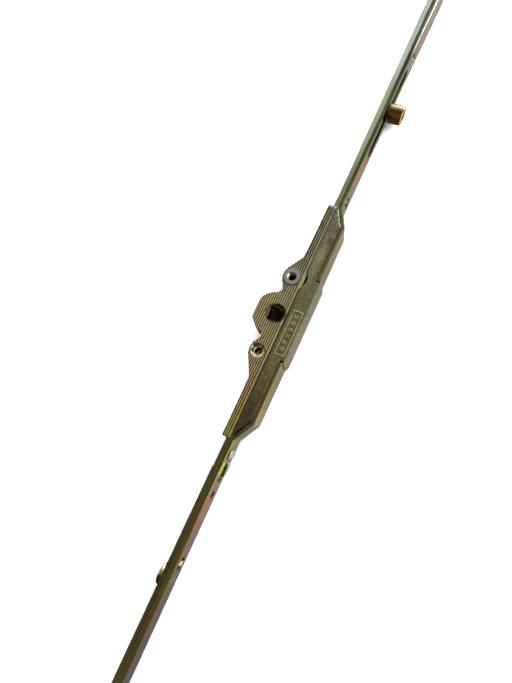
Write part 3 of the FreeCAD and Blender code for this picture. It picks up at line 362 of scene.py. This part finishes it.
def case_material():
    m = Mat("zinc_case_cast")
    top = m.along(m.x, -70, 70, [(-66, srgb(126, 106, 84)), (-48, srgb(140, 120, 88)), (-34, srgb(164, 154, 108)), (-22, srgb(176, 168, 122)),
                                 (-8, srgb(190, 182, 132)), (6, srgb(162, 162, 122)), (20, srgb(170, 168, 130)), (34, srgb(204, 198, 162)),
                                 (60, srgb(216, 208, 184))])
    # the ribbed side plate: pale crests, brighter and yellower on the low wing, and grooves painted dark as shade
    crest = m.along(m.x, -70, 70, [(-67, srgb(240, 238, 124)), (-58, srgb(244, 224, 116)), (-48, srgb(248, 208, 126)), (-20, srgb(244, 226, 168)),
                                   (0, srgb(240, 227, 172)), (22, srgb(232, 224, 176)), (45, srgb(216, 208, 164)), (66, srgb(196, 188, 152))])
    groove_shade = m.along(m.x, -70, 70, [(-66, srgb(22, 18, 8)), (-40, srgb(36, 26, 14)), (0, srgb(62, 53, 29)), (66, srgb(54, 50, 34))])
    on_plate = m.mul(m.span(m.z, 0.00545, 0.0053), m.span(m.nz, -0.2, 0.1))
    phase = m.math("FRACT", m.math("DIVIDE", m.math("ADD", m.y, 0.00562 + 0.000575 + 0.0115), 0.00115))
    stripe = m.math("ABSOLUTE", m.math("SUBTRACT", phase, 0.5))
    ribs = m.mix(m.span(stripe, 0.11, 0.25), groove_shade, crest)
    plain = m.mix(0.1, crest, top)
    # the rear outline of the side plate: a painted shade line where a rounded edge would be, and a painted highlight
    # line on the lobe's high flank
    def beside(ax, ay, bx, by, wide):
        ln = ((bx - ax) ** 2 + (by - ay) ** 2) ** 0.5
        ux, uy = (bx - ax) / ln, (by - ay) / ln
        off = m.math("MULTIPLY_ADD", m.x, -uy * 1000.0, m.math("MULTIPLY_ADD", m.y, ux * 1000.0, ax * uy - ay * ux))
        way = m.math("MULTIPLY_ADD", m.x, ux * 1000.0, m.math("MULTIPLY_ADD", m.y, uy * 1000.0, -ax * ux - ay * uy))
        return m.mul(m.span(off, -wide - 0.12, -wide + 0.05), m.band(way, 0.0, ln, 0.05))

    def largest(masks):
        out = masks[0]
        for k in masks[1:]:
            out = m.math("MAXIMUM", out, k)
        return out

    rear_edge_painted_shade = largest([beside(*k, 0.42) for k in ((-67.5, -1.65, -35.8, -1.7), (-35.8, -1.7, -26.2, 3.45), (-12.1, 2.7, -11.3, 5.75),
                                                    (-11.3, 5.75, -10.4, 6.75), (-10.4, 6.75, -6.2, 10.75), (-6.2, 10.75, 4.8, 10.75),
                                                    (26.4, 3.85, 34.2, -1.3), (34.2, -1.3, 67.3, -1.55))])
    flank_painted_highlight = largest([beside(*k, 0.42) for k in ((4.8, 10.75, 8.3, 8.6), (8.3, 8.6, 10.3, 5.6), (10.3, 5.6, 13.1, 1.55))])
    in_ribs = m.mul(on_plate, m.span(m.y, -0.0050, -0.0048))
    # the raised body: darker towards the bow on its high half, mottled at that end, green beside the low ramp
    shade = m.mul(m.span(m.x, 0.014, 0.030), m.span(m.y, -0.0098, -0.0128), m.span(m.y, -0.0142, -0.0136))
    top = m.mix(m.mul(shade, 0.75), top, srgb(150, 148, 146), "MULTIPLY")
    top = m.mix(m.mul(m.span(m.x, -0.022, -0.030), m.span(m.y, -0.0118, -0.0128), 0.35), top, srgb(206, 194, 150))
    patch = m.noise(760.0, 5.0, 0.68, distortion=0.5)
    mottle = m.mix(m.span(patch, 0.40, 0.60), srgb(126, 88, 58), srgb(176, 174, 168))
    mottle = m.mix(m.span(m.noise(300.0, 3.0), 0.50, 0.66, 0.0, 0.7), mottle, srgb(130, 92, 62))
    top = m.mix(m.mul(m.span(m.x, 0.034, 0.050), 0.8), top, mottle)
    grain = m.noise(950.0, 3.0, 0.7)
    top = m.mix(m.span(grain, 0.40, 0.62, 0.28, 0.0), top, srgb(120, 112, 92), "MULTIPLY")
    top = m.mix(m.span(grain, 0.50, 0.66, 0.0, 0.18), top, srgb(236, 228, 186))
    ramp_line = m.math("MULTIPLY_ADD", m.math("ABSOLUTE", m.x), -491.0, m.math("MULTIPLY_ADD", m.y, 871.0, 0.871 * 12.98 + 0.491 * 55.447))
    near_ramp = m.span(ramp_line, 2.6, 1.2)
    top = m.mix(m.mul(near_ramp, m.span(m.x, -0.0565, -0.0585), 0.75), top, srgb(104, 122, 78))
    top = m.mix(m.mul(m.span(m.x, -0.0400, -0.0500), m.span(patch, 0.45, 0.6), 0.5), top, srgb(118, 84, 72))
    col = m.mix(on_plate, top, plain)
    col = m.mix(in_ribs, col, ribs)
    col = m.mix(m.mul(on_plate, rear_edge_painted_shade, 0.9), col, srgb(34, 32, 26))
    col = m.mix(m.mul(on_plate, flank_painted_highlight, 0.8), col, srgb(214, 216, 206))
    # the side plate's end faces: a painted white highlight at the high end, painted dark shade at the low end
    plate_ends_for_painted_light = m.span(m.z, 0.0046, 0.0049)
    col = m.mix(m.mul(m.span(m.x, 0.06605, 0.06625), plate_ends_for_painted_light), col, srgb(250, 252, 250))
    col = m.mix(m.mul(m.span(m.x, -0.0667, -0.0670), plate_ends_for_painted_light, 0.9), col, srgb(26, 22, 14))
    above = m.mul(m.span(m.z, 0.0074, 0.0077), m.span(m.nz, 0.3, 0.8), m.span(m.y, -0.01295, -0.0128))
    # a painted dark shade line in the gap beside the low ramp
    ramp_gap_shade = m.mul(m.span(m.z, 0.0074, 0.0077), m.span(ramp_line, 0.66, 0.46), m.span(m.x, -0.0545, -0.0555))
    col = m.mix(m.mul(ramp_gap_shade, 0.9), col, srgb(16, 14, 8))
    # wear with a painted white highlight along the high ramp's edge
    ramp_wear_and_highlight = m.mul(above, m.span(ramp_line, 0.75, 0.45), m.span(m.x, 0.050, 0.054), m.span(m.noise(700.0, 4.0), 0.38, 0.5))
    col = m.mix(m.mul(ramp_wear_and_highlight, 0.9), col, srgb(238, 244, 244))
    # plain rims round the bushes
    rims = m.math("MAXIMUM", rim_mask(m, 21.5, 4.55, 5.15), rim_mask(m, -21.5, 3.7, 4.3))
    col = m.mix(m.mul(rims, m.span(m.z, 0.0060, 0.0053)), col, srgb(164, 164, 138))
    # the rear wall of the raised body is darker, and the crescent beside the high bush is painted dark as a cast shadow
    lean = m.mul(m.band(m.ny, 0.6, 0.95, 0.15), m.band(m.nz, 0.3, 0.85, 0.15), m.span(m.z, 0.0052, 0.0056))
    col = m.mix(lean, col, m.along(m.x, -70, 70, [(-60, srgb(112, 88, 68)), (-30, srgb(112, 110, 90)), (4, srgb(120, 128, 118)), (36, srgb(150, 160, 144)),
                                                  (60, srgb(146, 144, 138))]))
    pit_x = m.math("MULTIPLY_ADD", m.x, 1000.0, -21.3)
    pit_y = m.math("MULTIPLY_ADD", m.y, 1000.0, 2.6)
    pit_r = m.math("SQRT", m.math("ADD", m.mul(pit_x, pit_x), m.mul(pit_y, pit_y)))
    crescent_shadow = m.mul(m.span(pit_r, 6.12, 6.2, 1.0, 0.0), m.span(m.y, -0.0067, -0.0069), m.span(m.z, 0.0077, 0.0070))
    col = m.mix(crescent_shadow, col, srgb(50, 51, 34))
    front = m.span(m.ny, -0.4, -0.8)
    col = m.mix(front, col, srgb(158, 149, 132))
    # painted dark shadow on the skin's low end face
    skin_end_shadow = m.mul(m.span(m.nx, -0.35, -0.65), m.band(m.x, -0.0228, -0.0220, 0.0001), m.span(m.y, -0.0148, -0.0151))
    col = m.mix(m.mul(skin_end_shadow, 0.9), col, srgb(24, 20, 14))
    # the plain tablet: a darker field with pale frame and bars
    field = m.mul(m.band(m.x, -0.0204, 0.0044, 0.0001), m.band(m.y, -0.0143, -0.00895, 0.0001), m.span(m.nz, 0.3, 0.7))
    raised = m.span(m.z, 0.00806, 0.00820)
    inner = m.mul(m.band(m.x, -0.0196, 0.0036, 0.0001), m.band(m.y, -0.0135, -0.00975, 0.0001))
    col = m.mix(m.mul(field, m.inv(raised), 0.18), col, srgb(92, 86, 54))
    col = m.mix(m.mul(field, raised, m.math("MULTIPLY_ADD", inner, -0.4, 0.8)), col, srgb(224, 214, 164))
    # cast skin: cloudy patina, pits, darkening in the corners that is grime and painted shade, rubbed edges with
    # painted highlights
    cloud = m.noise(260.0, 6.0, 0.65, distortion=0.4)
    col = m.mix(m.span(cloud, 0.42, 0.66, 0.0, 0.24), col, srgb(120, 112, 84), "MULTIPLY")
    fine = m.noise(1700.0, 4.0, 0.7)
    col = m.mix(m.span(fine, 0.42, 0.66, 0.0, 0.55), col, srgb(176, 168, 132), "OVERLAY")
    tint = m.noise(150.0, 3.0, 0.6)
    col = m.mix(m.span(tint, 0.5, 0.7, 0.0, 0.3), col, srgb(112, 138, 96), "OVERLAY")
    rose = m.mul(m.span(m.noise(190.0, 3.0, 0.6, vec=m.scaled(1.0, 1.0, 1.0)), 0.55, 0.7), m.span(m.x, -0.010, -0.060))
    col = m.mix(m.mul(rose, 0.35), col, srgb(128, 84, 78))
    pit = m.voronoi(1100.0)
    col = m.mix(m.span(pit, 0.0, 0.14, 0.6, 0.0), col, srgb(44, 38, 22))
    grime_and_corner_shade = m.mul(m.span(m.crevice(0.0012), 0.30, 0.92, 0.85, 0.0), m.math("MULTIPLY_ADD", in_ribs, -0.7, 1.0))
    col = m.mix(grime_and_corner_shade, col, srgb(18, 16, 8))
    e = m.edge(0.00028, 0.80, 0.98)
    wear_and_highlight = m.mul(e, m.span(m.noise(260.0, 4.0), 0.34, 0.56), m.span(m.crevice(0.0008), 0.72, 0.95))
    col = m.mix(m.mul(wear_and_highlight, 0.6), col, srgb(206, 200, 164))
    m.set("Base Color", col)
    # a chalky patina where the film is thinnest: the crests, the plain band and the tablet's bars
    crests = m.math("MAXIMUM", m.span(stripe, 0.11, 0.25), m.span(m.y, -0.0048, -0.0050))
    chalk = m.mul(on_plate, crests, m.along(m.x, -70, 70, [(-66, lin(0.08, 0.08, 0.08)), (-30, lin(0.08, 0.08, 0.08)), (16, lin(0.075, 0.075, 0.075)),
                                                           (30, lin(0.02, 0.02, 0.02))]))
    chalk = m.math("ADD", chalk, m.mul(field, raised, m.math("MULTIPLY_ADD", inner, -0.03, 0.035)))
    m.set("Metallic", m.math("SUBTRACT", 0.97, chalk))
    m.b.inputs["Specular Tint"].default_value = (0.7, 0.66, 0.58, 1.0)
    m.set("Roughness", m.span(fine, 0.3, 0.7, 0.36, 0.52))
    nrm = m.bump(cloud, 0.2, 0.00008, m.bevel(0.0003))
    nrm = m.bump(fine, 0.32, 0.00005, nrm)
    m.set("Normal", m.bump(m.span(pit, 0.0, 0.2), 0.35, 0.00006, nrm))
    return m.m


# ---------------------------------------------------------------- turned pieces
def turned_material(name, base, dark, cx, cy, axis, rough, ring_scale, metal=1.0, tint=(0.7, 0.66, 0.58, 1.0)):
    """A lathe-turned finish: fine rings about the piece's own axis."""
    m = Mat(name)
    a = m.math("SUBTRACT", m.x, cx)
    b = m.math("SUBTRACT", m.y if axis == "Z" else m.z, cy)
    r = m.math("SQRT", m.math("ADD", m.mul(a, a), m.mul(b, b)))
    h = m.z if axis == "Z" else m.y
    comb = m.t.nodes.new("ShaderNodeCombineXYZ")
    m.put(comb.inputs[0], r)
    m.put(comb.inputs[1], h)
    rings = m.noise(ring_scale, 3.0, 0.7, vec=comb.outputs[0])
    cloud = m.noise(500.0, 4.0)
    col = m.mix(m.span(rings, 0.35, 0.68, 0.0, 0.6), base, dark)
    col = m.mix(m.span(cloud, 0.5, 0.75, 0.0, 0.4), col, dark)
    e = m.edge(0.00018, 0.82, 0.985)
    light = tuple(min(1.0, 0.5 * c + 0.5) for c in base[:3]) + (1.0,)
    col = m.mix(m.mul(e, 0.4), col, light)
    m.set("Metallic", metal)
    m.b.inputs["Specular Tint"].default_value = tint
    m.set("Roughness", m.span(rings, 0.3, 0.7, rough, rough + 0.1))
    m.set("Normal", m.bump(rings, 0.25, 0.00003, m.bevel(0.00012)))
    return m, col, r


def finish_turned(name, base, dark, cx, cy, axis, rough, ring_scale, metal=1.0):
    m, col, r = turned_material(name, base, dark, cx, cy, axis, rough, ring_scale, metal)
    m.set("Base Color", col)
    return m.m


strip = faceplate_material()
dress("faceplate", strip)
dress("lower_drive_rod", rod_material("plated_steel_rod", [
    (-205, srgb(184, 170, 110)), (-165, srgb(162, 148, 98)), (-150, srgb(150, 138, 92)), (-120, srgb(160, 148, 98)), (-82, srgb(168, 160, 104))], srgb(150, 138, 84)))
dress("upper_drive_rod", rod_material("plated_steel_rod_upper", [
    (40, srgb(176, 168, 112)), (72, srgb(190, 190, 156)), (100, srgb(192, 206, 170)), (112, srgb(192, 212, 178)), (126, srgb(190, 214, 184)), (150, srgb(194, 208, 182)), (168, srgb(206, 214, 198)), (180, srgb(192, 202, 186)),
    (200, srgb(192, 200, 188)), (225, srgb(196, 204, 192))], srgb(170, 168, 120)))
dress("drive_bar", rod_material("plated_steel_bar", [(-100, srgb(168, 160, 104)), (0, srgb(160, 150, 108)), (60, srgb(180, 176, 130))],
                                srgb(150, 138, 84)))
shell = case_material()
dress("housing_front_shell", shell)
dress("housing_back_shell", shell)


def lower_bush_material():
    """Polished countersink under a thin film; light and shade painted round it by angle, the bore painted dark as
    shade, with a painted glint and painted pale sides.
    """
    m, col, r = turned_material("bush_plated_film", srgb(242, 234, 212), srgb(208, 194, 162), -0.0215, 0.0, "Z", 0.10, 9000.0)
    col = m.mix(m.span(m.noise(300.0, 3.0), 0.45, 0.65, 0.0, 0.35), col, srgb(206, 150, 128))
    ang = m.span(m.math("ARCTAN2", m.y, m.math("ADD", m.x, 0.0215)), -3.14159, 3.14159, smooth=False)
    film_and_painted_light = m.ramp(ang, [(0.0, lin(1.0, 1.0, 1.0)), (0.1, lin(1.0, 1.0, 1.0)), (0.2, lin(0.7, 0.6, 0.42)), (0.35, lin(0.5, 0.4, 0.24)), (0.5, lin(0.85, 0.6, 0.3)),
                        (0.64, lin(0.85, 0.5, 0.26)), (0.72, lin(1.0, 0.98, 0.95)), (0.86, lin(0.85, 0.95, 0.98)), (1.0, lin(1.0, 1.0, 1.0))])
    col = m.mix(1.0, col, film_and_painted_light, "MULTIPLY")
    painted_deep_shade = m.span(r, 0.00225, 0.0021)
    col = m.mix(m.mul(painted_deep_shade, 0.95), col, srgb(14, 11, 7))
    glint = m.mul(painted_deep_shade, m.band(ang, 0.66, 0.76, 0.03), m.span(m.z, 0.0024, 0.0029))
    painted_pale_side = m.mul(m.math("MAXIMUM", m.span(ang, 0.19, 0.14), m.span(ang, 0.86, 0.92)), m.inv(painted_deep_shade))
    col = m.mix(m.mul(painted_pale_side, 0.7), col, srgb(226, 222, 214))
    m.set("Base Color", m.mix(glint, col, srgb(255, 246, 150)))
    m.set("Metallic", m.math("SUBTRACT", m.inv(painted_deep_shade), m.mul(painted_pale_side, 0.2)))
    m.set("Specular IOR Level", m.span(painted_deep_shade, 0.0, 1.0, 0.5, 0.0))
    return m.m


def upper_bush_material():
    """Matt grey cast ring; the mouth is painted dark as shade, with a painted bright glint on its rear wall."""
    m, col, r = turned_material("bush_grey_cast", srgb(182, 188, 180), srgb(128, 134, 126), 0.0215, 0.0, "Z", 0.42, 5200.0, 0.92)
    painted_deep_shade = m.span(r, 0.00262, 0.00246)
    col = m.mix(m.mul(painted_deep_shade, 0.92), col, srgb(24, 20, 12))
    across = m.math("SUBTRACT", m.x, 0.0215)
    glint = m.mul(painted_deep_shade, m.span(m.y, 0.0012, 0.0019), m.band(across, -0.0009, 0.0008, 0.0004), m.span(m.z, 0.0036, 0.0042))
    m.set("Base Color", m.mix(glint, col, srgb(255, 248, 170)))
    m.set("Metallic", m.mul(m.inv(painted_deep_shade), 0.92))
    m.set("Specular IOR Level", m.span(painted_deep_shade, 0.0, 1.0, 0.5, 0.0))
    return m.m


dress("screw_bush_lower", lower_bush_material())
dress("screw_bush_upper", upper_bush_material())


def follower_material():
    """Sintered steel with a gold film on its face, with light and shade painted round it by angle, a painted dark
    crescent and painted pale sides; the square's walls are painted dark as shade.
    """
    m, col, r = turned_material("follower_gold", srgb(250, 206, 116), srgb(190, 140, 60), 0.0, 0.0, "Z", 0.2, 7000.0)
    ang = m.math("ARCTAN2", m.y, m.x)
    f = m.span(ang, -3.14159, 3.14159, smooth=False)
    film_and_painted_light = m.ramp(f, [(0.0, lin(0.20, 0.20, 0.20)), (0.35, lin(0.16, 0.15, 0.13)), (0.46, lin(0.17, 0.17, 0.18)), (0.6, lin(0.42, 0.37, 0.33)),
                      (0.68, lin(1.0, 1.0, 1.0)), (0.83, lin(1.0, 0.9, 0.7)), (0.9, lin(0.4, 0.36, 0.3)), (1.0, lin(0.20, 0.20, 0.20))])
    arcs = m.band(r, 0.00485, 0.0050, 0.00006)
    face = m.span(m.math("ABSOLUTE", m.nz), 0.90, 0.98)
    on_face = m.mix(1.0, col, film_and_painted_light, "MULTIPLY")
    on_face = m.mix(m.mul(arcs, 0.8), on_face, srgb(30, 20, 8))
    # a painted dark shade crescent
    on_face = m.mix(m.mul(m.span(r, 0.0044, 0.0047), m.band(f, 0.30, 0.55, 0.04), 0.9), on_face, srgb(14, 10, 6))
    painted_pale_side = m.math("MAXIMUM", m.span(f, 0.10, 0.03), m.span(f, 0.90, 0.96))
    on_face = m.mix(m.mul(painted_pale_side, 0.8), on_face, srgb(150, 134, 122))
    painted_wall_shade = m.mix(m.span(m.y, -0.0035, 0.001), srgb(44, 38, 22), srgb(12, 10, 6))
    m.set("Base Color", m.mix(face, painted_wall_shade, on_face))
    m.set("Metallic", face)
    m.set("Specular IOR Level", m.span(face, 0.0, 1.0, 0.0, 0.5))
    return m.m


dress("spindle_follower", follower_material())


def guide_rivet_material():
    """Domed brass head, painted dark on its low-x side and light on its high-x side as light and shade; the flush end
    on the faceplate has the strip's film.
    """
    m, col, r = turned_material("brass_head", srgb(234, 224, 196), srgb(196, 176, 128), -0.1377, 0.0, "Y", 0.12, 6500.0)
    film_and_painted_light = m.along(m.x, -144, -131, [(-142.5, lin(0.2, 0.2, 0.18)), (-139.5, lin(0.1, 0.09, 0.07)), (-138.0, lin(0.26, 0.25, 0.19)),
                                     (-136.8, lin(1.0, 1.0, 1.0)), (-133, lin(1.0, 1.0, 1.0))])
    col = m.mix(1.0, col, film_and_painted_light, "MULTIPLY")
    col = m.mix(m.span(m.y, -0.0088, -0.00895), col, srgb(132, 128, 112))
    m.set("Base Color", col)
    return m.m


dress("guide_rivet", guide_rivet_material())


def roller_material():
    """Polished brass, painted browner and darker on the side that looks down the strip and paler on the other, as light
    and shade.
    """
    m, col, r = turned_material("brass_roller", srgb(222, 200, 152), srgb(188, 158, 92), 0.13585, 0.0, "Y", 0.12, 5200.0)
    f = m.span(m.nx, -1.0, 1.0, smooth=False)
    film_and_painted_light = m.ramp(f, [(0.0, lin(0.9, 0.66, 0.3)), (0.12, lin(0.8, 0.55, 0.22)), (0.32, lin(0.36, 0.25, 0.08)), (0.38, lin(0.6, 0.55, 0.42)),
                      (0.43, lin(0.85, 0.9, 0.95)), (0.68, lin(0.9, 0.95, 1.0)), (0.8, lin(0.6, 0.6, 0.5)), (1.0, lin(0.5, 0.45, 0.3))])
    side = m.span(m.math("ABSOLUTE", m.ny), 0.5, 0.2)
    m.set("Base Color", m.mix(side, m.mix(0.5, col, srgb(230, 180, 70)), m.mix(1.0, col, film_and_painted_light, "MULTIPLY")))
    return m.m


dress("cam_roller", roller_material())
dress("cam_stud", finish_turned("bare_steel_stud", srgb(216, 180, 104), srgb(146, 110, 50), 0.13585, 0.0, "Y", 0.2, 5200.0))
dress("cam_washer", finish_turned("bare_steel_washer", srgb(170, 160, 120), srgb(110, 102, 74), 0.13585, 0.0, "Y", 0.3, 5200.0))
# the lower lap rivets, seen through the small holes, are painted near black as shade
dress("lap_rivets_lower", finish_turned("bare_steel_rivet", srgb(40, 34, 20), srgb(22, 18, 10), -0.0917, 0.0, "Y", 0.3, 5200.0))
dress("lap_rivets_upper", finish_turned("bare_steel_rivet_upper", srgb(150, 140, 104), srgb(96, 88, 60), 0.0493, 0.0, "Y", 0.3, 5200.0))
dress("dowel_pins", finish_turned("bare_steel_dowel", srgb(180, 176, 164), srgb(120, 116, 104), 0.0, 0.0, "Z", 0.25, 5200.0))

# ---------------------------------------------------------------- floor and light
FLOOR_Z = -0.0082


def staged(name, verts, faces, colour, shade_under_distance=None):
    mesh = bpy.data.meshes.new(name)
    mesh.from_pydata(verts, [], faces)
    o = bpy.data.objects.new(name, mesh)
    scene.collection.objects.link(o)
    m = Mat(name + "_paint")
    m.set("Base Color", (colour, colour, colour, 1.0))
    # painted dark shade on the floor where the part covers it
    if shade_under_distance:
        m.set("Base Color", m.mix(m.span(m.crevice(shade_under_distance, 12), 0.16, 0.40), lin(0.02, 0.02, 0.02), lin(colour, colour, colour)))
    m.set("Roughness", 0.9)
    m.set("Specular IOR Level", 0.1)
    mesh.materials.append(m.m)
    o.visible_glossy = False
    return o


R, H = 5.0, 5.0
floor = staged("floor", [(-R, -R, FLOOR_Z), (R, -R, FLOOR_Z), (R, R, FLOOR_Z), (-R, R, FLOOR_Z)], [(0, 1, 2, 3)], 0.9, 0.02)
walls = staged("backdrop", [(-R, -R, FLOOR_Z), (R, -R, FLOOR_Z), (R, R, FLOOR_Z), (-R, R, FLOOR_Z), (-R, -R, H), (R, -R, H), (R, R, H),
                            (-R, R, H)], [(0, 1, 5, 4), (1, 2, 6, 5), (2, 3, 7, 6), (3, 0, 4, 7)], 0.8)
walls.visible_diffuse = False

# What the metal mirrors: a dark ceiling that brightens towards the cam end, a
# bright wall there, a pale front wall and a dark rear one.
world = bpy.data.worlds.new("studio")
scene.world = world
world.use_nodes = True
wt = world.node_tree
bg = wt.nodes["Background"]
tc = wt.nodes.new("ShaderNodeTexCoord")
sep = wt.nodes.new("ShaderNodeSeparateXYZ")
wt.links.new(tc.outputs["Generated"], sep.inputs[0])
DX, DY, DZ = sep.outputs


def w_span(v, lo, hi, to_lo=0.0, to_hi=1.0, smooth=True):
    n = wt.nodes.new("ShaderNodeMapRange")
    n.interpolation_type = "SMOOTHSTEP" if smooth else "LINEAR"
    n.clamp = True
    wt.links.new(v, n.inputs["Value"])
    n.inputs["From Min"].default_value = lo
    n.inputs["From Max"].default_value = hi
    n.inputs["To Min"].default_value = to_lo
    n.inputs["To Max"].default_value = to_hi
    return n.outputs["Result"]


def w_math(op, a, b):
    n = wt.nodes.new("ShaderNodeMath")
    n.operation = op
    for i, v in enumerate((a, b)):
        if isinstance(v, bpy.types.NodeSocket):
            wt.links.new(v, n.inputs[i])
        else:
            n.inputs[i].default_value = v
    return n.outputs[0]


def w_level(stops):
    """Brightness by the east-west direction; stops are (direction, level) pairs."""
    n = wt.nodes.new("ShaderNodeValToRGB")
    e = n.color_ramp.elements
    while len(e) > 1:
        e.remove(e[-1])
    for k, (p, v) in enumerate(stops):
        el = e[0] if k == 0 else e.new((p + 1.0) / 2.0)
        el.position = (p + 1.0) / 2.0
        el.color = (v / 8.0, v / 8.0, v / 8.0, 1.0)
    wt.links.new(w_span(DX, -1.0, 1.0, smooth=False), n.inputs[0])
    return w_math("MULTIPLY", n.outputs[0], 8.0)


def w_blend(fac, a, b):
    """a where fac is 0, b where it is 1."""
    return w_math("ADD", w_math("MULTIPLY", w_math("SUBTRACT", 1.0, fac), a), w_math("MULTIPLY", fac, b))


centre = w_level([(-1.0, 0.10), (-0.5, 0.17), (-0.3, 0.13), (-0.1, 0.13), (0.0, 0.145), (0.1, 0.20), (0.24, 0.23), (0.36, 0.25),
                  (0.44, 0.25), (0.5, 0.29), (0.585, 0.56), (0.64, 0.70), (0.70, 0.93), (0.73, 0.74), (0.76, 0.70), (0.84, 1.6),
                  (0.92, 2.6), (1.0, 2.6)])
front = w_level([(-1.0, 0.04), (-0.45, 0.08), (-0.3, 0.12), (-0.22, 0.4), (-0.16, 1.4), (0.0, 1.6), (0.12, 1.1), (0.25, 0.9),
                 (0.42, 0.6), (0.48, 0.4), (0.62, 0.34), (0.69, 0.4), (0.705, 4.0), (0.73, 8.0), (1.0, 8.0)])
back = w_level([(-1.0, 0.05), (-0.3, 0.08), (0.3, 0.10), (0.5, 0.2), (0.65, 0.5), (0.75, 1.4), (1.0, 2.2)])
far = w_span(DY, 0.83, 0.95, 0.0, 0.55)
up = w_blend(w_span(DY, -0.05, -0.42), centre, front)
up = w_blend(w_span(DY, 0.35, 0.6), up, w_math("ADD", back, far))
ground_front = w_level([(-1.0, 0.15), (-0.5, 0.60), (-0.3, 0.75), (-0.19, 0.88), (0.25, 0.88), (0.56, 0.90), (0.75, 1.04), (1.0, 2.0)])
ground_mid = w_level([(-1.0, 0.06), (0.0, 0.08), (0.35, 0.15), (0.6, 0.5), (0.8, 1.4), (1.0, 2.2)])
ground_back = w_level([(-1.0, 0.25), (-0.1, 0.62), (0.2, 0.88), (0.5, 1.25), (0.8, 1.7), (1.0, 2.4)])
down = w_blend(w_span(DY, -0.08, 0.02), ground_front, ground_mid)
down = w_blend(w_span(DY, 0.40, 0.70), down, ground_back)
level = w_blend(w_span(DZ, -0.03, 0.03), down, up)
wt.links.new(level, bg.inputs["Strength"])
world.cycles_visibility.diffuse = False
bg.inputs["Color"].default_value = (1.0, 0.995, 0.98, 1.0)


def softbox(name, at, power):
    """A large soft light for the floor and walls; the metal mirrors the room instead."""
    d = bpy.data.lights.new(name, "AREA")
    d.shape = "SQUARE"
    d.size = 1.8
    d.energy = power
    o = bpy.data.objects.new(name, d)
    scene.collection.objects.link(o)
    o.location = at
    o.rotation_euler = (-Vector(at)).to_track_quat("-Z", "Y").to_euler()
    o.visible_glossy = False
    return o


softbox("softbox_east", (2.6, 0, 1.9), 190.0)
softbox("softbox_west", (-2.6, 0, 1.9), 190.0)
softbox("softbox_south", (0, -2.6, 1.9), 115.0)
scene.view_settings.view_transform = "Standard"
